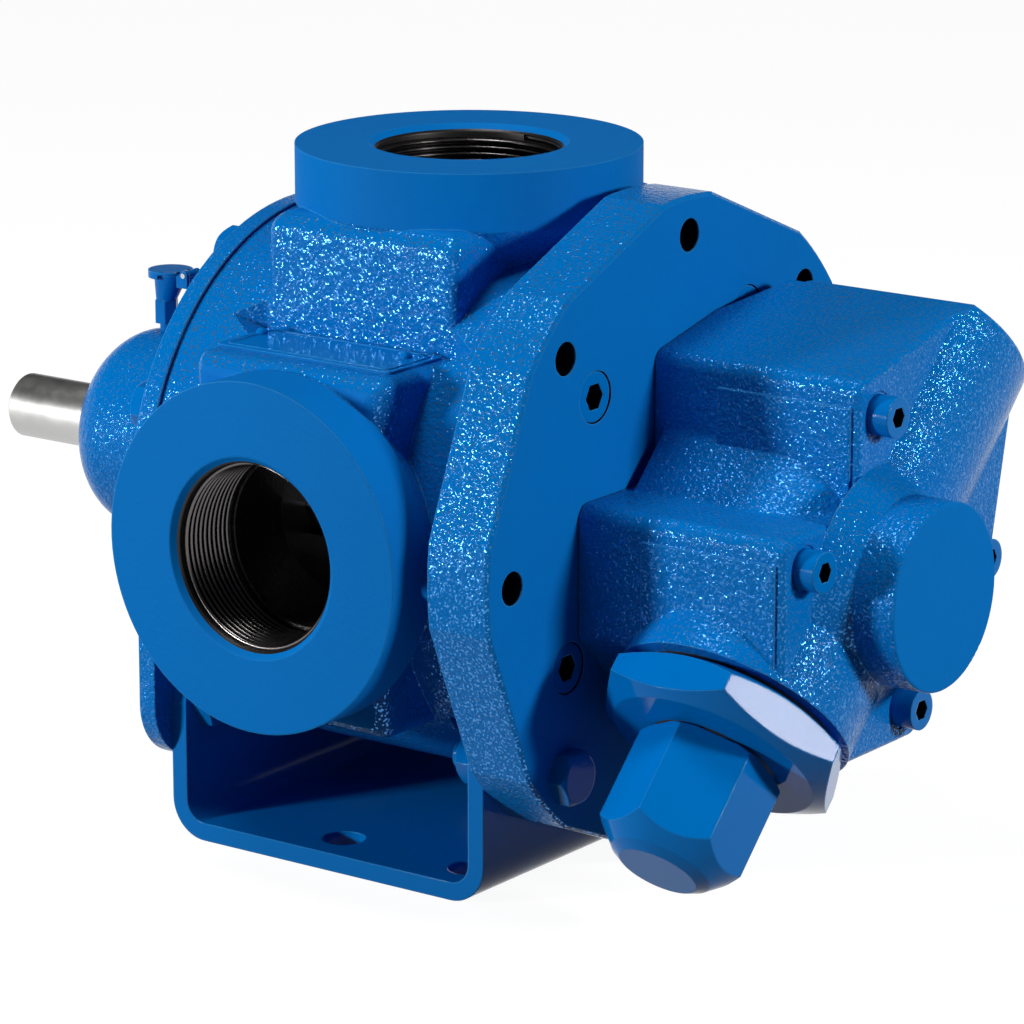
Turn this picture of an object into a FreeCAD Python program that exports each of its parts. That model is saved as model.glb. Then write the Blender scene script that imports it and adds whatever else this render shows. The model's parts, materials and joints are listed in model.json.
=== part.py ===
import FreeCAD, Part
import math
import os

# Gear pump with an internal gear pair, two threaded ports at a right angle,
# a relief valve on the head and a bent steel foot.
# Millimetres. X runs along the drive shaft, from its free end to the relief valve,
# -Y is the side port's way, +Z is the top port's way.
# The pieces are built about the shaft's axis and lifted so that the foot's underside is Z = 0.
# The origin lies under the meeting point of the two port axes.

V = FreeCAD.Vector

# Overall places
shaft_height = 112.0          # foot's underside to shaft axis
port_reach = 115.0            # shaft axis to each port face
gasket = 0.8                  # thickness of every flat gasket
seat_gap = 0.02               # radial gap of a pressed or piloted seat
running_gap = 0.06            # radial gap of a running fit
face_gap = 0.3                # gap between faces that run past each other
thread_gap = 0.05             # radial gap between a screw and its tapped hole

# Casing
drum_radius = 89.0
casing_half_length = 62.7
bore_radius = 64.2
bore_back = -46.0             # station of the bore's rear wall
neck_half_width = 38.0        # along the shaft
neck_half_height = 58.0       # across the shaft
neck_reach = 97.0
neck_edge = 4.0
neck_end_edge = 7.0
boss_radius = 56.5
boss_thickness = 19.0
boss_flare_reach = 66.0       # where the flare under a boss starts
boss_flare_radius = 40.0
port_radius = 30.15           # wall radius of the threaded port
port_thread = 27.0
port_throat = 28.0
port_chamfer = 2.4
corner_ramp = 12.0            # length of the slopes beside the nameplate's ledge
bushing_wall = 4.7

# Head
head_thickness = 23.0
head_corner_radius = 107.0
head_flat_cut = 3.7           # from the corners' circle in to the eight flats
head_edge = 1.2
flange_hole_edge = 12.55      # head's corner radius to the circle of its holes
flange_hole_radius = 5.4
head_screw_circle = 72.5
head_screw_count = 5
head_screw_start = 44.5
valve_screw_depth = 14.0
spigot_reach = 19.7           # spigot's length into the casing bore
relief_passage_radius = 9.0
relief_inlet_u = -46.0
relief_outlet_u = 38.0
relief_passage_w = 26.0

# Gear pair
rotor_teeth = 11
idler_teeth = 8
rotor_pitch = 50.0            # pitch radius of the rotor's teeth
tooth_tip = 3.6               # how far a tooth tip passes the pitch circle
flank_gap = 0.12              # half of the play between the teeth
rotor_plate = 15.0
crescent_gap = 0.15
crescent_cut = 10.0           # how far from the shaft axis the crescent's horns end
idler_pin_radius = 12.0
idler_pin_depth = 37.0        # length of the pin held in the head
idler_bush_wall = 4.0

# Shaft
shaft_radius = 14.3
extension_radius = 11.11
journal_radius = 12.0         # seat of the lip seal
shaft_tip = -194.0
tip_chamfer = 1.6
keyway_width = 4.8
keyway_depth = 2.6
keyway_length = 32.0
rotor_key = 6.0

# Bearing bracket
bracket_step = 1.0            # how far the flange passes the drum
bracket_thickness = 6.5
bracket_fillet = 8.0
hub_radius = 35.0
hub_round_start = -132.5
hub_round_length = 22.0
bracket_bolt_edge = 10.0      # flange's edge to the circle of its bolts
bracket_bolt_count = 8
bracket_bolt_start = 22.5
bracket_thread = 12.0
lug_radius = 20.2
lug_side_top = -38.0
seal_bore = 29.0
seal_bore_back = -116.0
hub_hole_gap = 0.5

# Ball bearing
bearing_outer = 26.0
bearing_inner = 12.5
bearing_width = 15.0
bearing_back = -137.0
ball_radius = 3.97
ball_circle = 19.25
ball_count = 9
ball_gap = 0.03
race_land = 2.05              # ball circle to the edge of each race
cage_half_width = 5.2
cage_half_thickness = 1.1
snap_ring = 1.5
snap_depth = 1.6

# Shaft seal
gland_thickness = 8.0
gland_bore_gap = 0.9
seat_outer = 20.4
seat_depth = 5.0
seat_stand = 1.5
rotary_length = 6.0
rotary_outer = 19.5
seal_work_length = 14.0
collar_length = 8.0
collar_outer = 22.0
seal_wire = 1.0
seal_turns = 3
oring_wire = 1.3
lip_seal_outer = 18.0
lip_seal_width = 6.5
lip_seal_gap = 4.0
set_screw = 2.5
gland_ring_reach = 3.0

# Foot
foot_half_depth = 78.5
foot_plate = 6.0
foot_bend = 13.0
foot_gap = 0.8                # bracket flange to the foot's legs
foot_bolt_turn = 135.0        # foot bolts, measured from the top port's way
scallop_gap = 1.3
scallop_room = 2.5
foot_ear_radius = 11.7
foot_hole_radius = 7.0
foot_hole_near = -4.0         # station of the foot's rear pair of holes
foot_hole_spacing_x = 51.0
foot_hole_spacing_y = 127.0

# Metric fasteners
m10_radius = 5.0
m10_hex = 16.0
m10_head = 6.4
m10_nut = 8.0
m10_cap_radius = 8.0
m10_cap_head = 10.0
m10_socket = 8.0
m8_radius = 4.0
m8_cap_radius = 6.5
m8_cap_head = 8.0
m8_socket = 6.0
bolt_hole_gap = 0.4
bolt_end = 3.0                # how far a bolt stands out of its nut
head_screw_depth = 20.0       # thread in the casing
head_screw_sink = 0.5         # screw's top under the head's face

# Relief valve, measured along its own axis u, across it w, and along the shaft X
valve_axis_x = 134.0
valve_front = 163.0
valve_barrel = 38.5
valve_mouth = 60.5
lobe_end_u = 59.0
lobe_end_w = 26.0
lobe_tip_u = 29.0
lobe_tip_w = 56.0
far_end_u = -84.0
far_end_w = 21.0
notch_fillet = 4.0
outline_fillet = 5.0
arch_fillet = 4.0             # between the barrel and the lobes' walls
valve_edge = 2.0
web_half = 20.0               # half length of the web under the barrel
undercut = 3.2                # height of the gap under the web
far_taper_reach = 67.9        # shaft axis to the foot of the far corners' taper
far_taper_depth = 6.3
far_taper_top = 97.0
panel_start = 111.0
panel_end = 160.0
panel_edge = 7.7              # lobe tip to the panel
panel_low_w = 28.0
panel_rise = 1.0
valve_screw_u = 28.5
valve_screw_w = 40.6
spot_radius = 7.4
spot_depth = 0.6
front_boss_radius = 30.0
front_boss_u = 8.7
front_boss_face = 187.0
front_boss_flare = 9.0
valve_bore = 19.0
valve_seat_u = -33.0
seat_hole = 13.0
seat_hole_end = -58.0

# Relief valve's inner pieces
poppet_length = 28.0
poppet_wall = 4.4
poppet_crown = 11.0
spring_wire = 2.0
spring_turns = 6
spring_end_u = 46.0
button_thickness = 4.0
button_clearance = 3.0
screw_radius = 6.0
screw_end_u = 103.0
screw_slot = 1.6
nut_width = 19.0
nut_height = 6.0

# Bonnet and cap
bonnet_flats = 74.0
bonnet_turn = -3.0            # degrees, first corner from the shaft's way
bonnet_height = 15.9
bonnet_chamfer_radius = 33.6
bonnet_chamfer_slope = 0.56   # depth of the chamfer over its width
bonnet_spigot = 12.0
bonnet_cup_radius = 15.0
bonnet_cup_depth = 8.0
collar_radius = 16.5
collar_height = 8.8
cap_flats = 41.0
cap_turn = 30.0
cap_height = 41.0
cap_chamfer = 9.5
cap_end_radius = 14.0
cap_base_radius = 21.6
cap_base_chamfer = 1.2
cap_bore_end = 11.0

# Nameplate
plate_length = 70.0
plate_depth = 28.0
plate_thickness = 0.9
plate_centre_x = -1.3
plate_back_gap = 0.3
plate_screw_spacing = 58.0
plate_screw_shift = -2.7
plate_screw_back = 8.5
plate_screw_radius = 2.0

# Oil cup
cup_x = -129.0
cup_stem_radius = 2.4
cup_hex = 7.2
cup_hex_base = 38.0
cup_hex_height = 8.0
cup_lean = 2.6
cup_mouth_radius = 6.2
cup_wall = 0.8
cup_mouth_z = 55.6
lid_radius = 7.7
lid_skirt = 1.6
lid_plate = 0.9
lid_gap = 0.3
lid_pin_radius = 0.9
lid_hinge_shift = 1.9
lid_hinge_rise = 0.4
ear_width = 1.6
ear_gap = 2.2

# Sizes worked out from the ones above
flange_hole_circle = head_corner_radius - flange_hole_edge
head_flat = head_corner_radius - head_flat_cut
bracket_radius = drum_radius + bracket_step
bracket_bolt_circle = bracket_radius - bracket_bolt_edge
casing_front = casing_half_length
casing_back = -casing_half_length
head_back = casing_front + gasket
head_front = head_back + head_thickness
spigot_face = head_back - spigot_reach
bracket_front = casing_back - gasket
bracket_back = bracket_front - bracket_thickness
valve_base = head_front + gasket
tooth_roll = rotor_pitch / (2 * rotor_teeth)     # radius of the circle that rolls the flanks
idler_pitch = tooth_roll * 2 * idler_teeth
offset = rotor_pitch - idler_pitch               # idler axis to shaft axis
rotor_tip = rotor_pitch - tooth_tip
idler_tip = idler_pitch + tooth_tip
rotor_back = bore_back + face_gap
rotor_face = rotor_back + rotor_plate
finger_end = spigot_face - face_gap
idler_back = rotor_face + face_gap
idler_bore = idler_pin_radius + running_gap + idler_bush_wall
counterbore = head_front - m10_cap_head - head_screw_sink
hub_end = hub_round_start - hub_round_length
shaft_snap_back = bearing_back - snap_ring
lip_seal_front = bearing_back - lip_seal_gap
lip_seal_back = lip_seal_front - lip_seal_width
bearing_front = bearing_back + bearing_width
gland_ring_x = seal_bore_back + gland_ring_reach
gland_front = seal_bore_back + gland_thickness
rotary_back = gland_front + seat_stand + face_gap
collar_back = rotary_back + rotary_length + seal_work_length
foot_outer = head_back
foot_inner = foot_outer - foot_plate
foot_bolt_angles = (foot_bolt_turn, -foot_bolt_turn)
scallop_radius = foot_ear_radius + scallop_gap
scallop_start = foot_inner - m10_nut - bolt_end - scallop_room
ledge = neck_half_height
diagonal = math.sqrt(0.5)
notch_w = lobe_tip_w - lobe_tip_u                # the lobes' walls run at 45 degrees
poppet_end = valve_seat_u + poppet_length
spring_start_u = valve_seat_u + poppet_crown
bonnet_start = valve_mouth + gasket
bonnet_end = bonnet_start + bonnet_height
cap_start = bonnet_end + gasket
cap_end = cap_start + cap_height
lid_hinge_x = cup_x + cup_lean + cup_mouth_radius + lid_hinge_shift
lid_hinge_z = cup_mouth_z + lid_hinge_rise
FULL = 360.0
CORNERS = 6

os.makedirs("parts", exist_ok=True)


def save(node, shape):
    """Lift a finished piece to the foot's datum and write it."""
    lifted = shape.copy()
    lifted.translate(V(0, 0, shaft_height))
    lifted.exportStep("parts/" + node + ".step")


def rod(radius, start, end, y=0.0, z=0.0):
    """Round bar along X between two stations."""
    return Part.makeCylinder(radius, end - start, V(start, y, z), V(1, 0, 0))


def sleeve(outer, inner, start, end, y=0.0, z=0.0):
    """Round ring along X."""
    return rod(outer, start, end, y, z).cut(rod(inner, start, end, y, z))


def block(x0, x1, y0, y1, z0, z1):
    """Box between two corners."""
    return Part.makeBox(x1 - x0, y1 - y0, z1 - z0, V(x0, y0, z0))


def turned(profile):
    """Solid of revolution about the shaft axis from (station, radius) corners."""
    corners = [V(x, 0, r) for x, r in profile]
    face = Part.Face(Part.makePolygon(corners + corners[:1]))
    return face.revolve(V(0, 0, 0), V(1, 0, 0), FULL)


def around(count, start=0.0):
    """Evenly spaced angles in degrees, from the top towards the side port."""
    return [start + FULL * i / count for i in range(count)]


def head_screw_angles():
    """Angles of the head's screws."""
    return around(head_screw_count, head_screw_start)


def bracket_bolt_angles():
    """Angles of the bracket's bolts."""
    return around(bracket_bolt_count, bracket_bolt_start)


def on_circle(radius, angle):
    """Y and Z of a point, at an angle in degrees from the top towards the side port."""
    turn = math.radians(angle)
    return -radius * math.sin(turn), radius * math.cos(turn)


def polygon_prism(corners, direction):
    """Closed polygon pushed along a direction."""
    return Part.Face(Part.makePolygon(corners + corners[:1])).extrude(direction)


def hex_corners(flats, turn=0.0):
    """Corners of a hexagon of a width across flats, first corner at a turn in degrees."""
    radius = flats / 2 / math.cos(math.pi / CORNERS)
    angles = [math.radians(turn + FULL * i / CORNERS) for i in range(CORNERS)]
    return [(radius * math.cos(a), radius * math.sin(a)) for a in angles]


def hex_bar(flats, start, end, y=0.0, z=0.0, turn=0.0):
    """Hexagonal bar along X."""
    corners = [V(start, y + a, z + b) for a, b in hex_corners(flats, turn)]
    return polygon_prism(corners, V(end - start, 0, 0))


def hex_head(flats, start, end, y, z, turn=0.0):
    """Hexagonal head whose outer end is chamfered round, the outer end last."""
    bar = hex_bar(flats, min(start, end), max(start, end), y, z, turn)
    step = abs(end - start)
    way = V(1 if end > start else -1, 0, 0)
    outer = flats / 2 / math.cos(math.pi / CORNERS)
    taper = Part.makeCone(outer + step, flats / 2 * 0.96, step, V(start, y, z), way)
    return bar.common(taper)


def edges_along(shape, direction):
    """Straight edges that run along a direction."""
    found = []
    for edge in shape.Edges:
        span = edge.Vertexes[-1].Point - edge.Vertexes[0].Point
        if span.Length > 0 and abs(span.normalize().dot(direction)) > 0.999:
            found.append(edge)
    return found


def socket_screw(cap_radius, cap_head, radius, socket, seat, tip, y, z):
    """Socket head screw along X, its head in front of the seat and its tip behind it."""
    screw = rod(cap_radius, seat, seat + cap_head, y, z).fuse(rod(radius, tip, seat, y, z))
    return screw.cut(hex_bar(socket, seat + cap_head / 2, seat + cap_head, y, z))


def to_valve(shape):
    """Turn a shape from the relief valve's own axes (u, -w, X) into the pump's axes."""
    s = diagonal
    frame = FreeCAD.Matrix(0, 0, 1, 0, -s, s, 0, 0, -s, -s, 0, 0, 0, 0, 0, 1)
    return shape.transformed(frame, True)


def valve_rod(radius, start, end):
    """Round bar along the relief valve's axis, in the valve's own axes."""
    return Part.makeCylinder(radius, end - start, V(start, 0, valve_axis_x), V(1, 0, 0))


def valve_turned(profile):
    """Solid of revolution about the relief valve's axis from (u, radius) corners."""
    shape = turned(profile)
    shape.translate(V(0, 0, valve_axis_x))
    return shape


# Casing

def neck():
    """Square neck towards the top port, with its flared round boss."""
    body = block(-neck_half_width, neck_half_width, -neck_half_height, neck_half_height,
                 0, neck_reach)
    body = body.makeFillet(neck_edge, edges_along(body, V(0, 0, 1)))
    top_edges = [e for e in body.Edges if e.BoundBox.ZMin > neck_reach - 0.01]
    body = body.makeFillet(neck_end_edge, top_edges)
    boss_base = port_reach - boss_thickness
    flare = Part.makeCone(boss_flare_radius, boss_radius, boss_base - boss_flare_reach,
                          V(0, 0, boss_flare_reach))
    boss = Part.makeCylinder(boss_radius, boss_thickness, V(0, 0, boss_base))
    return body.fuse([flare, boss])


def port_cut():
    """Threaded mouth, chamfer and throat of the top port."""
    mouth = Part.makeCylinder(port_radius, port_thread, V(0, 0, port_reach - port_thread))
    throat = Part.makeCylinder(port_throat, port_reach, V(0, 0, bore_radius - port_throat / 2))
    throat = throat.common(Part.makeCylinder(port_throat, port_reach))
    chamfer = Part.makeCone(port_radius, port_radius + port_chamfer, port_chamfer,
                            V(0, 0, port_reach - port_chamfer))
    return mouth.fuse([throat, chamfer])


def to_side(shape):
    """Turn a top port feature to the side port."""
    turned_shape = shape.copy()
    turned_shape.rotate(V(0, 0, 0), V(1, 0, 0), 90)
    return turned_shape


def foot_scallops():
    """Hollows in the drum's lower edges for the foot's ears and their fasteners."""
    hollows = []
    for angle in foot_bolt_angles:
        y, z = on_circle(flange_hole_circle, angle)
        for start, end in ((-head_back, -scallop_start), (scallop_start, head_back)):
            hollows.append(rod(scallop_radius, start, end, y, z))
    return hollows


def ledge_cut():
    """Room over the nameplate's ledge, with a slope at each end up to the drum."""
    low = neck_half_height
    cut = block(-neck_half_width, neck_half_width, -drum_radius, -low, ledge, drum_radius)
    squares = []
    for step in (0.0, corner_ramp):
        x = neck_half_width + step
        near = low + step / 2
        far = drum_radius + step
        corners = [V(x, -near, near), V(x, -far, near), V(x, -far, far), V(x, -near, far)]
        squares.append(Part.makePolygon(corners + corners[:1]))
    ramp = Part.makeLoft(squares, True, True)
    return cut.fuse([ramp, ramp.mirror(V(0, 0, 0), V(1, 0, 0))])


def casing():
    """Drum with two necks, bored for the rotor, the shaft bushing and the ports."""
    body = rod(drum_radius, casing_back, casing_front)
    body = body.cut(ledge_cut())
    body = body.fuse([neck(), to_side(neck())]).removeSplitter()
    cuts = [rod(bore_radius, bore_back, casing_front)]
    cuts.append(rod(shaft_radius + bushing_wall, casing_back, bore_back))
    cuts.extend([port_cut(), to_side(port_cut())])
    cuts.extend(foot_scallops())
    for angle in head_screw_angles():
        y, z = on_circle(head_screw_circle, angle)
        cuts.append(rod(m10_radius + thread_gap, casing_front - head_screw_depth - 2,
                        casing_front, y, z))
    for angle in bracket_bolt_angles():
        y, z = on_circle(bracket_bolt_circle, angle)
        cuts.append(rod(m10_radius + thread_gap, casing_back, casing_back + bracket_thread + 2, y, z))
    return body.cut(cuts)


# Head with crescent

def octagon_plate(start, end):
    """Round plate with eight flats between the flange holes."""
    corner = head_flat / math.cos(math.pi / 8)
    corners = [V(start, *on_circle(corner, a)) for a in around(8)]
    return rod(head_corner_radius, start, end).common(polygon_prism(corners, V(end - start, 0, 0)))


def idler_centre():
    """Y and Z of the idler's axis, towards the corner between the ports."""
    return on_circle(offset, 45.0)


def crescent():
    """Crescent that fills the gap between the idler's and the rotor's tooth tips."""
    y, z = idler_centre()
    lune = rod(rotor_tip - crescent_gap, idler_back, head_back)
    lune = lune.cut(rod(idler_tip + crescent_gap, idler_back, head_back, y, z))
    size = 2 * rotor_pitch
    keep = block(idler_back, head_back, -size, size, -size, -crescent_cut)
    keep.rotate(V(0, 0, 0), V(1, 0, 0), 45)
    return lune.common(keep)


def flange_holes(start, end, angles):
    """Through holes on the flange's hole circle."""
    return [rod(flange_hole_radius, start, end, *on_circle(flange_hole_circle, a)) for a in angles]


def valve_place(u, w):
    """Y and Z of a point given in the relief valve's axes."""
    return -(u + w) * diagonal, (w - u) * diagonal


def head():
    """Octagonal front plate with spigot, crescent, passages and screw holes."""
    plate = octagon_plate(head_back, head_front)
    rim = [e for e in plate.Edges if e.BoundBox.XMin > head_front - 0.01]
    plate = plate.makeChamfer(head_edge, rim)
    spigot = rod(bore_radius - seat_gap, spigot_face, head_back)
    y, z = idler_centre()
    cuts = flange_holes(head_back, head_front, around(8))
    cuts.append(rod(idler_pin_radius + seat_gap, spigot_face, spigot_face + idler_pin_depth, y, z))
    for u in (relief_inlet_u, relief_outlet_u):
        place = valve_place(u, relief_passage_w)
        cuts.append(rod(relief_passage_radius, spigot_face, head_front, *place))
    for angle in head_screw_angles():
        y, z = on_circle(head_screw_circle, angle)
        cuts.append(rod(m10_radius + bolt_hole_gap, head_back, head_front, y, z))
        cuts.append(rod(m10_cap_radius + bolt_hole_gap, counterbore, head_front, y, z))
    for u in (-valve_screw_u, valve_screw_u):
        for w in (-valve_screw_w, valve_screw_w):
            y, z = valve_place(u, w)
            cuts.append(rod(m8_radius + thread_gap, head_front - valve_screw_depth - 2,
                            head_front, y, z))
    return plate.fuse([spigot, crescent()]).removeSplitter().cut(cuts)


def head_gasket():
    """Ring gasket between casing and head."""
    ring = sleeve(drum_radius, bore_radius, casing_front, head_back)
    holes = [rod(m10_radius + bolt_hole_gap, casing_front, head_back,
                 *on_circle(head_screw_circle, a)) for a in head_screw_angles()]
    return ring.cut(holes + foot_scallops())


def head_screws():
    """Socket screws sunk in the head."""
    screws = []
    for angle in head_screw_angles():
        y, z = on_circle(head_screw_circle, angle)
        screws.append(socket_screw(m10_cap_radius, m10_cap_head, m10_radius, m10_socket,
                                   counterbore, casing_front - head_screw_depth, y, z))
    return Part.makeCompound(screws)


# Gear pair

def rolled(radius, way, share):
    """Point of the curve that a circle rolls on a pitch circle, way +1 outside and -1 inside."""
    arm = radius + way * tooth_roll
    turn = share * 2 * math.pi * tooth_roll / radius
    spin = arm / tooth_roll * turn
    y = arm * math.cos(turn) - way * tooth_roll * math.cos(spin)
    z = arm * math.sin(turn) - tooth_roll * math.sin(spin)
    return math.hypot(y, z), math.atan2(z, y)


def share_at(radius, way, reach):
    """Share of the rolling turn at which the curve has moved a reach off the pitch circle."""
    arm = radius + way * tooth_roll
    target = radius + way * reach
    cosine = (arm ** 2 + tooth_roll ** 2 - target ** 2) / (2 * arm * tooth_roll) * way
    return math.acos(max(-1.0, min(1.0, cosine))) / (2 * math.pi)


def flank(radius, way, reach, centre, side, play, steps=7):
    """Flank points from the pitch circle to the tip, for a tooth centred on an angle."""
    half = math.pi * tooth_roll / radius
    last = share_at(radius, way, reach)
    points = []
    for i in range(steps + 1):
        r, angle = rolled(radius, way, last * i / steps)
        points.append((r, centre + side * (half - angle - play / radius)))
    return points


def polar(x, r, angle, y0=0.0, z0=0.0):
    """Point at a radius and an angle in radians about an axis along X."""
    return V(x, y0 + r * math.cos(angle), z0 + r * math.sin(angle))


def spline(points):
    """Smooth edge through points."""
    curve = Part.BSplineCurve()
    curve.interpolate(points)
    return curve.toShape()


def arc_edge(a, b, c):
    """Arc edge through three points."""
    return Part.Arc(a, b, c).toShape()


def mesh_angle():
    """Angle in radians, in the Y-Z plane, at which the teeth are in full mesh."""
    y, z = idler_centre()
    return math.atan2(z, y)


def rotor_finger(centre):
    """One rotor tooth, a finger from the outside in to its rolled tip."""
    x = rotor_face
    outer = bore_radius - running_gap
    left = [polar(x, r, a) for r, a in flank(rotor_pitch, -1, tooth_tip, centre, 1, flank_gap)]
    right = [polar(x, r, a) for r, a in flank(rotor_pitch, -1, tooth_tip, centre, -1, flank_gap)]
    half = math.pi * tooth_roll / rotor_pitch - flank_gap / rotor_pitch
    out_left = polar(x, outer, centre + half)
    out_right = polar(x, outer, centre - half)
    edges = [spline(left), arc_edge(left[-1], polar(x, rotor_tip, centre), right[-1])]
    edges.append(spline(right))
    edges.append(Part.makeLine(right[0], out_right))
    edges.append(arc_edge(out_right, polar(x, outer, centre), out_left))
    edges.append(Part.makeLine(out_left, left[0]))
    wire = Part.Wire(Part.__sortEdges__(edges))
    return Part.Face(wire).extrude(V(finger_end - rotor_face, 0, 0))


def rotor():
    """Rotor disc with its ring of fingers and the shaft's bore and keyway."""
    disc = rod(bore_radius - running_gap, rotor_back, rotor_face)
    start = mesh_angle()
    fingers = [rotor_finger(start + 2 * math.pi * i / rotor_teeth) for i in range(rotor_teeth)]
    body = disc.fuse(fingers).removeSplitter()
    bore = rod(shaft_radius + seat_gap, rotor_back, rotor_face)
    return body.cut([bore, key_block(seat_gap)])


def key_block(gap):
    """Square key between shaft and rotor, grown by a gap for its slots."""
    half = rotor_key / 2 + gap
    return block(rotor_back, rotor_face, -half, half,
                 shaft_radius - half, shaft_radius + half)


def idler():
    """Idler gear with rolled teeth, one gap facing the rotor finger in full mesh."""
    y0, z0 = idler_centre()
    x = idler_back
    pitch = 2 * math.pi / idler_teeth
    start = mesh_angle() + pitch / 2
    edges = []
    valley_half = pitch / 4
    for i in range(idler_teeth):
        centre = start + pitch * i
        up = [polar(x, r, a, y0, z0) for r, a in flank(idler_pitch, 1, tooth_tip, centre, -1, 0)]
        down = [polar(x, r, a, y0, z0) for r, a in flank(idler_pitch, 1, tooth_tip, centre, 1, 0)]
        edges.append(spline(up))
        edges.append(arc_edge(up[-1], polar(x, idler_tip, centre, y0, z0), down[-1]))
        edges.append(spline(down))
        valley = []
        for k in range(15):
            r, angle = rolled(idler_pitch, -1, k / 14)
            valley.append(polar(x, r, centre + pitch / 2 - valley_half + angle, y0, z0))
        edges.append(spline(valley))
    wire = Part.Wire(Part.__sortEdges__(edges))
    gear = Part.Face(wire).extrude(V(finger_end - idler_back, 0, 0))
    return gear.cut(rod(idler_bore + seat_gap, idler_back, finger_end, y0, z0))


def idler_bushing():
    """Bushing pressed in the idler, running on the pin."""
    return sleeve(idler_bore, idler_pin_radius + running_gap, idler_back, finger_end,
                  *idler_centre())


def idler_pin():
    """Fixed pin that carries the idler, held in the head."""
    return rod(idler_pin_radius, idler_back + face_gap, spigot_face + idler_pin_depth,
               *idler_centre())


# Drive shaft

def drive_shaft():
    """Stepped shaft with a bearing seat, a shoulder, a snap ring groove and two keyways."""
    shoulder = bearing_front + 4.0
    tip_end = shaft_tip + tip_chamfer
    groove = shaft_snap_back
    body = turned([
        (shaft_tip, 0), (shaft_tip, extension_radius - tip_chamfer), (tip_end, extension_radius),
        (hub_end - journal_radius + extension_radius, extension_radius), (hub_end, journal_radius),
        (lip_seal_front + 1, journal_radius), (lip_seal_front + 1, bearing_inner),
        (groove, bearing_inner), (groove, bearing_inner - snap_depth / 2),
        (bearing_back, bearing_inner - snap_depth / 2), (bearing_back, bearing_inner),
        (bearing_front, bearing_inner), (bearing_front, shaft_radius + 1.2),
        (shoulder, shaft_radius + 1.2), (shoulder, shaft_radius),
        (rotor_face, shaft_radius), (rotor_face, 0)])
    floor = extension_radius - keyway_depth
    slot = block(shaft_tip, shaft_tip + keyway_length, floor, shaft_radius,
                 -keyway_width / 2, keyway_width / 2)
    return body.cut([slot, key_block(seat_gap)])


def bearing_race(outer_race):
    """Outer or inner race with its ball groove."""
    if outer_race:
        ring = sleeve(bearing_outer, ball_circle + race_land, bearing_back, bearing_front)
    else:
        ring = sleeve(ball_circle - race_land, bearing_inner + seat_gap,
                      bearing_back, bearing_front)
    middle = (bearing_back + bearing_front) / 2
    groove = Part.makeTorus(ball_circle, ball_radius + ball_gap, V(middle, 0, 0), V(1, 0, 0))
    return ring.cut(groove)


def ball_places():
    """Centres of the balls."""
    middle = (bearing_back + bearing_front) / 2
    return [V(middle, *on_circle(ball_circle, a)) for a in around(ball_count)]


def bearing_balls():
    """Balls as separate solids."""
    return Part.makeCompound([Part.makeSphere(ball_radius, place) for place in ball_places()])


def bearing_cage():
    """Ring cage with one pocket for each ball."""
    middle = (bearing_back + bearing_front) / 2
    ring = sleeve(ball_circle + cage_half_thickness, ball_circle - cage_half_thickness,
                  middle - cage_half_width, middle + cage_half_width)
    pockets = []
    for place in ball_places():
        way = V(0, place.y, place.z).normalize()
        pockets.append(Part.makeCylinder(ball_radius + ball_gap, ball_circle, V(middle, 0, 0), way))
        pockets[-1].translate(way * (ball_circle / 2))
    return ring.cut(pockets)


def snap(outer, inner, start):
    """Snap ring with an open gap."""
    ring = sleeve(outer, inner, start, start + snap_ring)
    return ring.cut(block(start, start + snap_ring, -2, 2, 0, outer + 1))


# Bearing bracket

def lug_outline(side):
    """Lug for one foot bolt, with a straight outer side."""
    y, z = on_circle(flange_hole_circle, side * 135.0)
    end = bracket_front - bracket_thickness
    pad = rod(lug_radius, end, bracket_front, y, z)
    outer = abs(y) + lug_radius
    way = -side
    corners = [V(end, way * a, b) for a, b in (
        (outer, z), (outer, lug_side_top), (bracket_radius * 0.9, lug_side_top + lug_radius),
        (0, 0), (abs(y) - lug_radius, z - lug_radius / 2), (abs(y), z))]
    web = polygon_prism(corners, V(bracket_thickness, 0, 0))
    return pad.fuse(web)


def bearing_bracket():
    """Rear casting: flange with two foot lugs and a long hub with a rounded end."""
    flange = rod(bracket_radius, bracket_back, bracket_front)
    hub = rod(hub_radius, hub_round_start, bracket_back)
    dome = Part.makeSphere(hub_radius)
    scale = FreeCAD.Matrix()
    scale.scale(hub_round_length / hub_radius, 1, 1)
    dome = dome.transformGeometry(scale)
    dome.translate(V(hub_round_start, 0, 0))
    dome = dome.common(rod(hub_radius + 1, hub_end - 1, hub_round_start))
    foot_of_hub = turned([(bracket_back, 0), (bracket_back, hub_radius + bracket_fillet),
                          (bracket_back - bracket_fillet, hub_radius),
                          (bracket_back - bracket_fillet, 0)])
    body = flange.fuse([hub, dome, foot_of_hub, lug_outline(1), lug_outline(-1)]).removeSplitter()
    cuts = [rod(seal_bore, seal_bore_back, bracket_front)]
    cuts.append(rod(bearing_outer + seat_gap, bearing_back, bracket_front))
    cuts.append(rod(ball_circle + 1, lip_seal_front, bearing_back))
    cuts.append(rod(lip_seal_outer, lip_seal_back, bearing_back))
    cuts.append(rod(journal_radius + hub_hole_gap, hub_end - 1, bearing_back))
    cuts.append(rod(seal_bore + snap_depth, gland_front, gland_front + snap_ring))
    cuts.append(rod(bearing_outer + snap_depth, bearing_front, bearing_front + snap_ring))
    cuts.append(Part.makeCylinder(cup_stem_radius + thread_gap, hub_radius, V(cup_x, 0, bearing_outer)))
    for angle in bracket_bolt_angles():
        y, z = on_circle(bracket_bolt_circle, angle)
        cuts.append(rod(m10_radius + bolt_hole_gap, bracket_back, bracket_front, y, z))
    for angle in foot_bolt_angles:
        y, z = on_circle(flange_hole_circle, angle)
        cuts.append(rod(m10_radius + bolt_hole_gap, bracket_back, bracket_front, y, z))
    return body.cut(cuts)


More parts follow.
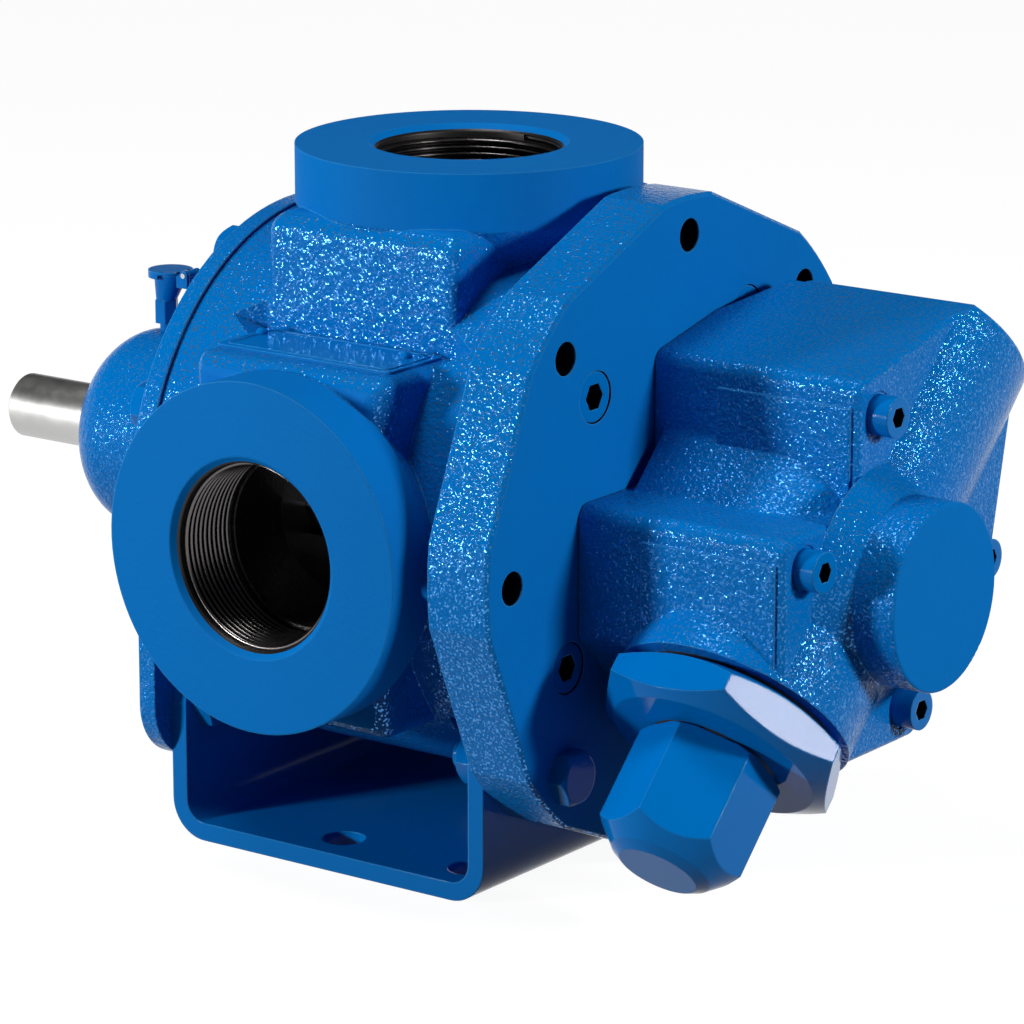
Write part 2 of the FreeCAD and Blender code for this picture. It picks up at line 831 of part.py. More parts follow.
def bracket_gasket():
    """Flat gasket between casing and bracket."""
    ring = sleeve(bracket_radius, seal_bore, bracket_front, casing_back)
    holes = [rod(m10_radius + bolt_hole_gap, bracket_front, casing_back,
                 *on_circle(bracket_bolt_circle, a)) for a in bracket_bolt_angles()]
    return ring.cut(holes + foot_scallops())


def bracket_bolts():
    """Hexagon bolts that hold the bracket to the casing."""
    bolts = []
    for angle in bracket_bolt_angles():
        y, z = on_circle(bracket_bolt_circle, angle)
        head_part = hex_head(m10_hex, bracket_back, bracket_back - m10_head, y, z, angle)
        shank = rod(m10_radius, bracket_back, casing_back + bracket_thread, y, z)
        bolts.append(head_part.fuse(shank))
    return Part.makeCompound(bolts)


# Shaft seal and bushing

def seal_gland():
    """Disc that holds the seal's fixed seat, with a groove for its ring."""
    disc = sleeve(seal_bore - seat_gap, shaft_radius + gland_bore_gap + 1.2,
                  seal_bore_back, gland_front)
    groove = sleeve(seal_bore, seal_bore - 2 * oring_wire, gland_ring_x - oring_wire - 0.1,
                    gland_ring_x + oring_wire + 0.1)
    recess = rod(seat_outer + seat_gap, gland_front - seat_depth, gland_front)
    return disc.cut([groove, recess])


def gland_oring():
    """Rubber ring in the gland's groove."""
    return Part.makeTorus(seal_bore - oring_wire - seat_gap, oring_wire - seat_gap,
                          V(gland_ring_x, 0, 0), V(1, 0, 0))


def seal_seat():
    """Fixed seal face."""
    return sleeve(seat_outer, shaft_radius + gland_bore_gap, gland_front - seat_depth,
                  gland_front + seat_stand)


def seal_rotary():
    """Turning seal face with a raised running lip."""
    start = rotary_back
    step = start + rotary_length / 3
    end = start + rotary_length
    return turned([(start, shaft_radius + 1.5), (start, rotary_outer - 2), (step, rotary_outer - 2),
                   (step, rotary_outer), (end, rotary_outer), (end, shaft_radius + seat_gap),
                   (step, shaft_radius + seat_gap)])


def seal_bellows():
    """Rubber bellows between the turning face and the collar."""
    start = rotary_back + rotary_length
    inner = shaft_radius + seat_gap
    profile = [(start, inner), (start, inner + 2.4)]
    folds = 3
    pitch = seal_work_length / folds
    for i in range(folds):
        profile.append((start + pitch * (i + 0.5), inner + 1.2))
        profile.append((start + pitch * (i + 1), inner + 2.4))
    profile.append((start + seal_work_length, inner))
    return turned(profile)


def coil(wire, radius, start, end, turns):
    """Round-wire spring along X, with an open pitch."""
    pitch = (end - start - 2 * wire) / turns
    helix = Part.makeHelix(pitch, pitch * turns, radius)
    circle = Part.Wire(Part.makeCircle(wire, V(radius, 0, 0), V(0, 1, 0)))
    body = Part.Wire(helix).makePipeShell([circle], True, True)
    body.rotate(V(0, 0, 0), V(0, 1, 0), 90)
    body.translate(V(start + wire, 0, 0))
    return body


def seal_collar():
    """Collar that drives the seal, with two screw holes."""
    ring = sleeve(collar_outer, shaft_radius + seat_gap, collar_back, collar_back + collar_length)
    middle = collar_back + collar_length / 2
    holes = [Part.makeCylinder(set_screw + thread_gap, collar_outer + 1, V(middle, 0, 0), V(0, side, 0))
             for side in (-1, 1)]
    return ring.cut(holes)


def seal_set_screws():
    """Two set screws in the seal's collar."""
    middle = collar_back + collar_length / 2
    length = collar_outer - shaft_radius - 0.6
    return Part.makeCompound([
        Part.makeCylinder(set_screw, length, V(middle, side * (shaft_radius + 0.1), 0), V(0, side, 0))
        for side in (-1, 1)])


def shaft_bushing():
    """Bushing in the casing's rear wall."""
    return sleeve(shaft_radius + bushing_wall - seat_gap, shaft_radius + running_gap,
                  casing_back, bore_back - face_gap)


def shaft_lip_seal():
    """Lip seal at the hub's open end."""
    return sleeve(lip_seal_outer - seat_gap, journal_radius + running_gap,
                  lip_seal_back, lip_seal_front)


# Foot

def foot():
    """Plate bent to a channel, its legs cut round the drum, with round ears for the bolts."""
    bottom = -shaft_height
    leg_top = on_circle(flange_hole_circle, foot_bolt_angles[0])[1]
    above = leg_top + 2 * foot_bend
    outer = block(-foot_outer, foot_outer, -foot_half_depth, foot_half_depth, bottom, above)
    outer = outer.makeFillet(foot_bend, low_edges(outer))
    inner = block(-foot_inner, foot_inner, -2 * foot_half_depth, 2 * foot_half_depth,
                  bottom + foot_plate, above + foot_bend)
    inner = inner.makeFillet(foot_bend - foot_plate, low_edges(inner))
    top = block(-foot_outer, foot_outer, -foot_half_depth, foot_half_depth, leg_top, above)
    plate = outer.cut([inner, top, rod(bracket_radius + foot_gap, -2 * foot_outer, 2 * foot_outer)])
    ears = []
    cuts = []
    for angle in foot_bolt_angles:
        y, z = on_circle(flange_hole_circle, angle)
        for start, end in ((-foot_outer, -foot_inner), (foot_inner, foot_outer)):
            ears.append(rod(foot_ear_radius, start, end, y, z))
        cuts.append(rod(m10_radius + bolt_hole_gap, -foot_outer, foot_outer, y, z))
    for x in (foot_hole_near, foot_hole_near + foot_hole_spacing_x):
        for side in (-1, 1):
            cuts.append(Part.makeCylinder(foot_hole_radius, foot_plate,
                                          V(x, side * foot_hole_spacing_y / 2, bottom)))
    return plate.fuse(ears).removeSplitter().cut(cuts)


def low_edges(box):
    """Bottom edges of a box that run along Y."""
    bottom = box.BoundBox.ZMin
    return [e for e in edges_along(box, V(0, 1, 0)) if e.BoundBox.ZMax < bottom + 0.01]


def foot_bolt(front, y, z):
    """Hexagon bolt through one leg, its head at the front or inside the rear leg."""
    if front:
        head_part = hex_head(m10_hex, head_front, head_front + m10_head, y, z)
        return head_part.fuse(rod(m10_radius, foot_inner - m10_nut - bolt_end, head_front, y, z))
    head_part = hex_head(m10_hex, -foot_inner, -foot_inner + m10_head, y, z)
    end = bracket_front - bracket_thickness - m10_nut - bolt_end
    return head_part.fuse(rod(m10_radius, end, -foot_inner, y, z))


def foot_nut(front, y, z):
    """Nut on a foot bolt."""
    if front:
        nut = hex_head(m10_hex, foot_inner, foot_inner - m10_nut, y, z)
    else:
        seat = bracket_front - bracket_thickness
        nut = hex_head(m10_hex, seat, seat - m10_nut, y, z)
    return nut.cut(rod(m10_radius + thread_gap, -2 * foot_outer, 2 * foot_outer, y, z))


def foot_pair(maker, front):
    """A fastener at each of the two foot bolt places."""
    return Part.makeCompound([maker(front, *on_circle(flange_hole_circle, a))
                              for a in foot_bolt_angles])


# Relief valve body

def valve_outline():
    """Body outline in the valve's axes, two lobes with a notch on each side."""
    half = [(lobe_end_u, lobe_end_w), (lobe_tip_u, lobe_tip_w), (0, notch_w),
            (-lobe_tip_u, lobe_tip_w), (far_end_u, far_end_w)]
    mirrored = [(u, -w) for u, w in reversed(half)]
    corners = [V(u, w, valve_base) for u, w in half + mirrored]
    prism = polygon_prism(corners, V(0, 0, valve_front - valve_base))
    tips = [e for e in edges_along(prism, V(0, 0, 1)) if abs(e.Vertexes[0].X) > 0.01]
    prism = prism.makeFillet(outline_fillet, tips)
    notches = [e for e in edges_along(prism, V(0, 0, 1)) if abs(e.Vertexes[0].X) < 0.01]
    return prism.makeFillet(notch_fillet, notches)


def valve_barrel_solid():
    """Barrel over the valve's bore, narrowed with the body towards its far end."""
    near = valve_rod(valve_barrel, -lobe_tip_u, valve_mouth)
    far = valve_rod(valve_barrel, far_end_u, -lobe_tip_u)
    rim = [e for e in far.Edges if e.BoundBox.XMax < far_end_u + 0.01]
    far = far.makeFillet(valve_edge, rim)
    corners = [V(-lobe_tip_u, lobe_tip_w, 0), V(far_end_u, far_end_w, 0),
               V(far_end_u, -far_end_w, 0), V(-lobe_tip_u, -lobe_tip_w, 0)]
    return near.fuse(far.common(polygon_prism(corners, V(0, 0, 2 * valve_front))))


def arch_edges(shape):
    """Edges in the notches where the barrel or the web under it meets a lobe's wall."""
    found = []
    for edge in shape.Edges:
        if abs(edge.BoundBox.XMin) > web_half:
            continue
        walls = 0
        rounds = 0
        for face in shape.ancestorsOfType(edge, Part.Face):
            surface = face.Surface
            if isinstance(surface, Part.Cylinder) and abs(surface.Radius - valve_barrel) < 0.01:
                rounds += 1
            if isinstance(surface, Part.Plane):
                way = surface.Axis
                if abs(abs(way.y) - 1) < 0.01 and abs(face.CenterOfMass.y) > valve_barrel - 0.1:
                    rounds += 1
                if abs(abs(way.x) - diagonal) < 0.01 and abs(abs(way.y) - diagonal) < 0.01:
                    walls += 1
        if walls == 1 and rounds == 1:
            found.append(edge)
    return found


def wall_panels():
    """Raised panels on the lobe walls that face the two ports."""
    panels = []
    for side in (-1, 1):
        out = V(diagonal, side * diagonal, 0)
        along = V(-diagonal, side * diagonal, 0)
        for tip_u in (lobe_tip_u, -lobe_tip_u):
            wall = (tip_u + lobe_tip_w) * diagonal
            high = (lobe_tip_w - tip_u) * diagonal - panel_edge
            low = (2 * panel_low_w - tip_u - lobe_tip_w) * diagonal
            corners = [out * r + along * t + V(0, 0, panel_start) for r, t in (
                (wall - 1, low), (wall + panel_rise, low), (wall + panel_rise, high), (wall - 1, high))]
            panels.append(polygon_prism(corners, V(0, 0, panel_end - panel_start)))
    return panels


def front_boss():
    """Round boss on the valve's front with a flared foot."""
    flare_top = valve_front + front_boss_flare
    boss = Part.makeCylinder(front_boss_radius, front_boss_face - valve_axis_x,
                             V(front_boss_u, 0, valve_axis_x))
    flare = Part.makeCone(front_boss_radius + front_boss_flare, front_boss_radius,
                          front_boss_flare, V(front_boss_u, 0, flare_top - front_boss_flare))
    rim = [e for e in boss.Edges if e.BoundBox.ZMin > front_boss_face - 0.01]
    return boss.makeFillet(1.0, rim).fuse(flare)


def relief_passages():
    """Two risers from the head and their cross holes into the valve's bore."""
    cuts = []
    for u in (relief_inlet_u, relief_outlet_u):
        cuts.append(Part.makeCylinder(relief_passage_radius, valve_axis_x - valve_base,
                                      V(u, -relief_passage_w, valve_base)))
        cuts.append(Part.makeCylinder(relief_passage_radius, relief_passage_w,
                                      V(u, -relief_passage_w, valve_axis_x), V(0, 1, 0)))
        cuts.append(Part.makeSphere(relief_passage_radius, V(u, -relief_passage_w, valve_axis_x)))
    return cuts


def far_base_wedges(depth):
    """Wedges that take the far corners in towards the base, by a depth."""
    wedges = []
    room = 2 * valve_front
    for side in (-1, 1):
        out = V(-diagonal, side * diagonal, 0)
        along = V(diagonal, side * diagonal, 0)
        corners = [out * r + along * -room + V(0, 0, x) for r, x in (
            (far_taper_reach, valve_base), (far_taper_reach + depth, far_taper_top),
            (far_taper_reach + room, far_taper_top), (far_taper_reach + room, valve_base))]
        wedges.append(polygon_prism(corners, along * (2 * room)))
    return wedges


def relief_body():
    """Valve casting: two lobes, a barrel along the valve's axis, a front boss and panels."""
    body = valve_outline()
    front = [e for e in body.Edges if e.BoundBox.ZMin > valve_front - 0.01]
    body = body.makeFillet(valve_edge, front)
    web = block(-web_half, web_half, -valve_barrel, valve_barrel, valve_base + undercut, valve_axis_x)
    body = body.fuse([valve_barrel_solid(), web]).removeSplitter()
    body = body.makeFillet(arch_fillet, arch_edges(body))
    solid = body.fuse([front_boss()] + wall_panels()).removeSplitter()
    cuts = far_base_wedges(far_taper_depth)
    cuts.append(valve_rod(valve_bore, valve_seat_u, valve_mouth + 1))
    cuts.append(valve_rod(seat_hole, seat_hole_end, valve_seat_u))
    cuts.extend(relief_passages())
    for u, w in valve_screw_places():
        cuts.append(Part.makeCylinder(m8_radius + bolt_hole_gap, valve_front, V(u, w, valve_base)))
        cuts.append(Part.makeCylinder(spot_radius, front_boss_face, V(u, w, valve_front - spot_depth)))
    return to_valve(solid.cut(cuts))


def valve_screw_places():
    """Places of the four screws in the valve's own axes."""
    return [(u, w) for u in (-valve_screw_u, valve_screw_u) for w in (-valve_screw_w, valve_screw_w)]


def relief_gasket():
    """Gasket under the valve body."""
    sheet = valve_outline()
    sheet = sheet.common(block(far_end_u, lobe_end_u, -drum_radius, drum_radius,
                               valve_base, valve_base + gasket))
    sheet = sheet.cut(far_base_wedges(0))
    sheet.translate(V(0, 0, -gasket))
    cuts = []
    for u in (relief_inlet_u, relief_outlet_u):
        cuts.append(Part.makeCylinder(relief_passage_radius, 2 * gasket,
                                      V(u, -relief_passage_w, head_front)))
    for u, w in valve_screw_places():
        cuts.append(Part.makeCylinder(m8_radius + bolt_hole_gap, 2 * gasket, V(u, w, head_front)))
    return to_valve(sheet.cut(cuts))


def relief_screws():
    """Socket screws that hold the valve body on the head."""
    seat = valve_front - spot_depth
    screws = []
    for u, w in valve_screw_places():
        y, z = valve_place(u, -w)
        screws.append(socket_screw(m8_cap_radius, m8_cap_head, m8_radius, m8_socket,
                                   seat, head_front - valve_screw_depth, y, z))
    return Part.makeCompound(screws)


# Relief valve inside

def relief_poppet():
    """Cup-shaped poppet that closes the seat hole and guides the spring."""
    radius = valve_bore - running_gap
    inner = radius - poppet_wall
    nose = seat_hole - 0.6
    return to_valve(valve_turned([
        (valve_seat_u - 3, 0), (valve_seat_u - 3, nose - 3), (valve_seat_u + 0.1, nose),
        (valve_seat_u + 0.1, radius), (poppet_end, radius), (poppet_end, inner),
        (spring_start_u, inner), (spring_start_u, 0)]))


def relief_spring():
    """Coil spring between the poppet and the button."""
    inner = valve_bore - running_gap - poppet_wall
    radius = inner - spring_wire - 0.8
    spring = coil(spring_wire, radius, spring_start_u + 0.1, spring_end_u - 0.1, spring_turns)
    spring.translate(V(0, 0, valve_axis_x))
    return to_valve(spring)


def spring_button():
    """Disc on the adjusting screw that presses the spring."""
    radius = bonnet_cup_radius - button_clearance / 2
    return to_valve(valve_turned([
        (spring_end_u, 0), (spring_end_u, radius), (spring_end_u + button_thickness, radius),
        (spring_end_u + button_thickness, screw_radius - 2), (spring_end_u + 2, screw_radius - 2),
        (spring_end_u + 2, 0)]))


def adjusting_screw():
    """Slotted screw through the bonnet, with a nose in the button."""
    nose = spring_end_u + 2.02
    body = valve_turned([
        (nose, 0), (nose, screw_radius - 2.02), (spring_end_u + button_thickness, screw_radius - 2.02),
        (spring_end_u + button_thickness, screw_radius), (screw_end_u - 1, screw_radius),
        (screw_end_u, screw_radius - 1), (screw_end_u, 0)])
    slot = block(screw_end_u - 2 * screw_slot, screw_end_u, -screw_radius, screw_radius,
                 valve_axis_x - screw_slot / 2, valve_axis_x + screw_slot / 2)
    return to_valve(body.cut(slot))


def valve_hex(flats, start, end, turn):
    """Hexagonal bar along the valve's axis, first corner turned from the shaft's way."""
    corners = [V(start, b, valve_axis_x + a) for a, b in hex_corners(flats, turn)]
    return polygon_prism(corners, V(end - start, 0, 0))


def bonnet():
    """Large hexagonal bonnet, chamfered on both faces, with a spigot and a threaded collar."""
    corner = bonnet_flats / 2 / math.cos(math.pi / CORNERS)
    drop = (corner - bonnet_chamfer_radius) * bonnet_chamfer_slope
    body = valve_hex(bonnet_flats, bonnet_start, bonnet_end, bonnet_turn)
    body = body.common(valve_turned([
        (bonnet_start, 0), (bonnet_start, bonnet_chamfer_radius), (bonnet_start + drop, corner + 0.1),
        (bonnet_end - drop, corner + 0.1), (bonnet_end, bonnet_chamfer_radius), (bonnet_end, 0)]))
    spigot = valve_rod(valve_bore - seat_gap, bonnet_start - bonnet_spigot, bonnet_start)
    collar = valve_rod(collar_radius, bonnet_end, bonnet_end + collar_height)
    bore = valve_rod(screw_radius + running_gap, bonnet_start - bonnet_spigot,
                     bonnet_end + collar_height)
    cup = valve_rod(bonnet_cup_radius, bonnet_start - bonnet_spigot, bonnet_start + bonnet_cup_depth)
    return to_valve(body.fuse([spigot, collar]).cut([bore, cup]))


def bonnet_gasket():
    """Ring gasket under the bonnet."""
    ring = valve_rod(bonnet_chamfer_radius, valve_mouth, bonnet_start)
    return to_valve(ring.cut(valve_rod(valve_bore, valve_mouth, bonnet_start)))


def adjuster_locknut():
    """Hexagon nut that locks the adjusting screw on the bonnet's collar."""
    start = bonnet_end + collar_height
    nut = valve_hex(nut_width, start, start + nut_height, 0)
    return to_valve(nut.cut(valve_rod(screw_radius + running_gap, start, start + nut_height)))


def cap_gasket():
    """Ring gasket under the cap."""
    ring = valve_rod(cap_base_radius - 1, bonnet_end, cap_start)
    return to_valve(ring.cut(valve_rod(collar_radius + seat_gap, bonnet_end, cap_start)))


def relief_cap():
    """Hexagonal cap with a long chamfer at its closed end, hollow over the screw."""
    corner = cap_flats / 2 / math.cos(math.pi / CORNERS)
    body = valve_hex(cap_flats, cap_start, cap_end, cap_turn)
    body = body.common(valve_turned([
        (cap_start, 0), (cap_start, cap_base_radius), (cap_start + cap_base_chamfer, corner + 0.1),
        (cap_end - cap_chamfer, corner + 0.1), (cap_end - 2, cap_end_radius + 2.4),
        (cap_end, cap_end_radius - 1), (cap_end, 0)]))
    bore = valve_rod(collar_radius + thread_gap, cap_start, cap_end - cap_bore_end)
    return to_valve(body.cut(bore))


# Nameplate and oil cup

def nameplate():
    """Thin plate on the ledge over the side neck."""
    x0 = plate_centre_x - plate_length / 2
    back = -neck_half_height - plate_back_gap
    plate = block(x0, x0 + plate_length, back - plate_depth, back, ledge, ledge + plate_thickness)
    plate = plate.makeFillet(2.0, edges_along(plate, V(0, 0, 1)))
    holes = [Part.makeCylinder(plate_screw_radius * 0.6, 2, V(x, y, ledge - 0.5))
             for x, y in plate_screw_places()]
    return plate.cut(holes)


def plate_screw_places():
    """Places of the two drive screws."""
    middle = plate_centre_x + plate_screw_shift
    y = -neck_half_height - plate_back_gap - plate_screw_back
    return [(middle + side * plate_screw_spacing / 2, y) for side in (-1, 1)]


def nameplate_screws():
    """Round-headed drive screws of the nameplate."""
    screws = []
    top = ledge + plate_thickness
    for x, y in plate_screw_places():
        head_part = Part.makeSphere(plate_screw_radius, V(x, y, top))
        upper = Part.makeCylinder(plate_screw_radius, plate_screw_radius, V(x, y, top))
        pin = Part.makeCylinder(plate_screw_radius * 0.55, plate_thickness, V(x, y, ledge))
        screws.append(head_part.common(upper).fuse(pin))
    return Part.makeCompound(screws)


def hinge_hole(radius):
    """Bar across the hinge, past both ears."""
    reach = ear_gap + 2 * ear_width
    return Part.makeCylinder(radius, 2 * reach, V(lid_hinge_x, -reach, lid_hinge_z), V(0, 1, 0))


def oil_cup_body():
    """Oil cup: threaded stem, hexagon, leaning funnel and two hinge ears."""
    hex_top = cup_hex_base + cup_hex_height
    stem = Part.makeCylinder(cup_stem_radius, cup_hex_base - bearing_outer - 2,
                             V(cup_x, 0, bearing_outer + 2))
    corners = [V(cup_x + a, b, cup_hex_base) for a, b in hex_corners(cup_hex)]
    nut = polygon_prism(corners, V(0, 0, cup_hex_height))
    low = Part.Wire(Part.makeCircle(cup_hex / 2, V(cup_x, 0, hex_top)))
    high = Part.Wire(Part.makeCircle(cup_mouth_radius, V(cup_x + cup_lean, 0, cup_mouth_z)))
    funnel = Part.makeLoft([low, high], True)
    inner_low = Part.Wire(Part.makeCircle(cup_hex / 2 - cup_wall, V(cup_x, 0, hex_top)))
    inner_high = Part.Wire(Part.makeCircle(cup_mouth_radius - cup_wall,
                                           V(cup_x + cup_lean, 0, cup_mouth_z)))
    hollow = Part.makeLoft([inner_low, inner_high], True)
    oil_way = Part.makeCylinder(1.2, cup_mouth_z, V(cup_x, 0, bearing_outer))
    ears = []
    for side in (-1, 1):
        y = side * ear_gap
        low_y = min(y, y + side * ear_width)
        ear = block(lid_hinge_x - 3, lid_hinge_x + 1.6, low_y, low_y + ear_width,
                    cup_mouth_z - 4, lid_hinge_z)
        round_top = Part.makeCylinder(1.6, ear_width, V(lid_hinge_x, low_y, lid_hinge_z), V(0, 1, 0))
        ears.append(ear.fuse(round_top))
    body = stem.fuse([nut, funnel] + ears).cut([hollow, oil_way])
    return body.cut(hinge_hole(lid_pin_radius + thread_gap))


def oil_cup_lid():
    """Hinged lid: shallow dish with a hinge knuckle between the ears."""
    centre = V(cup_x + cup_lean - 0.6, 0, cup_mouth_z + lid_gap)
    plate = Part.makeCylinder(lid_radius, lid_plate, centre)
    knuckle_half = ear_gap - 0.3
    knuckle = Part.makeCylinder(1.5, 2 * knuckle_half, V(lid_hinge_x, -knuckle_half, lid_hinge_z),
                                V(0, 1, 0))
    tab = block(lid_hinge_x - 3.2, lid_hinge_x, -knuckle_half, knuckle_half,
                cup_mouth_z + lid_gap, cup_mouth_z + lid_gap + lid_plate)
    lip = Part.makeCylinder(lid_radius, lid_skirt, centre - V(0, 0, lid_skirt))
    lip = lip.cut(Part.makeCylinder(cup_mouth_radius + 0.8, lid_skirt, centre - V(0, 0, lid_skirt)))
    lip = lip.cut(block(cup_x + cup_lean, lid_hinge_x + 5, -lid_radius, lid_radius, 0, cup_mouth_z + 5))
    slots = []
    for side in (-1, 1):
        near = side * knuckle_half
        far = side * (ear_gap + ear_width + lid_gap)
        slots.append(block(lid_hinge_x - 3.3, lid_hinge_x + 5, min(near, far), max(near, far),
                           cup_mouth_z - 3, cup_mouth_z + 5))
    lid = plate.cut(slots).fuse([knuckle, tab, lip])
    return lid.cut(hinge_hole(lid_pin_radius + running_gap))


def oil_cup_pin():
    """Hinge pin of the lid."""
    reach = ear_gap + ear_width + 0.3
    return Part.makeCylinder(lid_pin_radius, 2 * reach, V(lid_hinge_x, -reach, lid_hinge_z), V(0, 1, 0))


def build():
    """Write every piece."""
    pieces = {
        "casing": casing(),
        "head": head(),
        "head_gasket": head_gasket(),
        "head_screws": head_screws(),
        "rotor": rotor(),
        "rotor_key": key_block(0),
        "idler_gear": idler(),
        "idler_bushing": idler_bushing(),
        "idler_pin": idler_pin(),
        "drive_shaft": drive_shaft(),
        "shaft_bushing": shaft_bushing(),
        "bearing_outer_race": bearing_race(True),
        "bearing_inner_race": bearing_race(False),
        "bearing_balls": bearing_balls(),
        "bearing_cage": bearing_cage(),
        "bearing_snap_ring": snap(bearing_outer + snap_depth - 0.1, bearing_outer - 3, bearing_front),
        "shaft_snap_ring": snap(bearing_inner + 3, bearing_inner - snap_depth / 2 + seat_gap,
                                shaft_snap_back),
        "gland_snap_ring": snap(seal_bore + snap_depth - 0.1, seal_bore - 3, gland_front),
        "bearing_bracket": bearing_bracket(),
        "bracket_gasket": bracket_gasket(),
        "bracket_bolts": bracket_bolts(),
        "seal_gland": seal_gland(),
        "gland_oring": gland_oring(),
        "seal_seat": seal_seat(),
        "seal_rotary": seal_rotary(),
        "seal_bellows": seal_bellows(),
        "seal_spring": coil(seal_wire, collar_outer - 2 * seal_wire,
                            rotary_back + rotary_length, collar_back, seal_turns),
        "seal_collar": seal_collar(),
        "seal_set_screws": seal_set_screws(),
        "shaft_lip_seal": shaft_lip_seal(),
        "foot": foot(),
        "foot_front_bolts": foot_pair(foot_bolt, True),
        "foot_rear_bolts": foot_pair(foot_bolt, False),
        "foot_front_nuts": foot_pair(foot_nut, True),
        "foot_rear_nuts": foot_pair(foot_nut, False),
        "relief_body": relief_body(),
        "relief_gasket": relief_gasket(),
        "relief_screws": relief_screws(),
        "relief_poppet": relief_poppet(),
        "relief_spring": relief_spring(),
        "spring_button": spring_button(),
        "adjusting_screw": adjusting_screw(),
        "adjuster_locknut": adjuster_locknut(),
        "bonnet": bonnet(),
        "bonnet_gasket": bonnet_gasket(),
        "relief_cap": relief_cap(),
        "cap_gasket": cap_gasket(),
        "nameplate": nameplate(),
        "nameplate_screws": nameplate_screws(),
        "oil_cup_body": oil_cup_body(),
        "oil_cup_lid": oil_cup_lid(),
        "oil_cup_pin": oil_cup_pin(),
    }
    for node, shape in pieces.items():
        if not shape.isValid() or shape.Volume <= 0:
            print("check", node, shape.isValid(), shape.Volume)
        save(node, shape)


build()
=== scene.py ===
"""Dresses the gear pump: enamel over iron, bare shaft and threads, and a pale studio."""

import json
import logging
import math
from dataclasses import dataclass, field
from enum import Enum

import bpy
import numpy as np
from mathutils import Matrix, Vector


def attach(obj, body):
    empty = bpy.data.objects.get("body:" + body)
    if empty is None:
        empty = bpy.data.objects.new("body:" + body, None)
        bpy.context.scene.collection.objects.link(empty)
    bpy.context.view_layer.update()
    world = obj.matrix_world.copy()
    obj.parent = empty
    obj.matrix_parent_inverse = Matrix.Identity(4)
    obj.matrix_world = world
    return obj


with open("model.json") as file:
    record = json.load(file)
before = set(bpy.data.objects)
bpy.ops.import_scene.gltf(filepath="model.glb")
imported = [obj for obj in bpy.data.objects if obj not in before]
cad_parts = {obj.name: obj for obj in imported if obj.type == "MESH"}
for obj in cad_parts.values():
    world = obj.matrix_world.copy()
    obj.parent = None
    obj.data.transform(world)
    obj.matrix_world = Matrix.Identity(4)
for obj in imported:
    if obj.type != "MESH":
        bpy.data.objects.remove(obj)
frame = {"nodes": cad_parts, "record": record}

LOG = logging.getLogger("gear_pump")
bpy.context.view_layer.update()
TAU = 2.0 * math.pi
AXIS_HEIGHT = 0.112      # foot's underside to the shaft axis
PORT_REACH = 0.115       # shaft axis to each port face
DIAGONAL = math.sqrt(0.5)
Color = tuple[float, float, float, float]


class Place(Enum):
    """Which way a port looks, as (outward, across, along) unit vectors."""

    TOP = ((0, 0, 1), (0, 1, 0), (1, 0, 0))
    SIDE = ((0, -1, 0), (0, 0, 1), (1, 0, 0))


class Surface(Enum):
    """How a painted face was made before it was painted."""

    CAST = "cast"
    MACHINED = "machined"
    PLATE = "plate"
    FASTENER = "fastener"


@dataclass(frozen=True)
class Grain:
    """Relief of one kind of surface.

    Args:
        scale: cells per metre of the coarse relief.
        depth: height of the coarse relief, in metres.
        fine_scale: cells per metre of the fine relief.
        fine_depth: height of the fine relief, in metres.
    """

    scale: float
    depth: float
    fine_scale: float
    fine_depth: float


GRAINS = {
    Surface.CAST: Grain(560.0, 0.0003, 1300.0, 0.00022),
    Surface.MACHINED: Grain(160.0, 0.00003, 900.0, 0.000014),
    Surface.PLATE: Grain(90.0, 0.00005, 700.0, 0.00003),
    Surface.FASTENER: Grain(260.0, 0.00003, 1100.0, 0.00002),
}


class NodeTree:
    """Short way to add and link shader nodes in one tree."""

    def __init__(self, tree: bpy.types.NodeTree) -> None:
        """Keep the tree.

        Args:
            tree: the node tree to fill.
        """
        self.tree = tree

    def add(self, kind: str, inputs: dict | None = None, **settings: object) -> bpy.types.Node:
        """Add a node.

        Args:
            kind: the node's type name without its prefix.
            inputs: value or source socket for each input, by name or index.
            settings: attributes of the node.

        Returns:
            The new node.
        """
        node = self.tree.nodes.new("ShaderNode" + kind)
        for name, value in settings.items():
            setattr(node, name, value)
        for name, value in (inputs or {}).items():
            if isinstance(value, bpy.types.NodeSocket):
                self.tree.links.new(value, node.inputs[name])
            else:
                node.inputs[name].default_value = value
        return node

    def math(self, operation: str, first: object, second: object = 0.0
             ) -> bpy.types.NodeSocket:
        """Add a Math node.

        Args:
            operation: the operation's name.
            first: first value or socket.
            second: second value or socket.

        Returns:
            The result's socket.
        """
        return self.add("Math", {0: first, 1: second}, operation=operation).outputs[0]

    def ramp(self, value: bpy.types.NodeSocket, low: float, high: float
             ) -> bpy.types.NodeSocket:
        """Rise smoothly from 0 to 1 as a value goes from low to high.

        Args:
            value: the socket to read.
            low: value at which the result is 0.
            high: value at which the result is 1.

        Returns:
            The result's socket.
        """
        node = self.add("MapRange", {0: value, 1: low, 2: high, 3: 0.0, 4: 1.0},
                        interpolation_type="SMOOTHSTEP")
        return node.outputs[0]

    def mix_color(self, share: object, first: object, second: object) -> bpy.types.NodeSocket:
        """Mix two colours.

        Args:
            share: share of the second colour.
            first: colour or socket at share 0.
            second: colour or socket at share 1.

        Returns:
            The mixed colour's socket.
        """
        node = self.add("Mix", {0: share, 6: first, 7: second}, data_type="RGBA")
        return node.outputs[2]

    def mix_value(self, share: object, first: object, second: object) -> bpy.types.NodeSocket:
        """Mix two numbers.

        Args:
            share: share of the second number.
            first: number or socket at share 0.
            second: number or socket at share 1.

        Returns:
            The mixed number's socket.
        """
        node = self.add("Mix", {0: share, 2: first, 3: second}, data_type="FLOAT")
        return node.outputs[0]


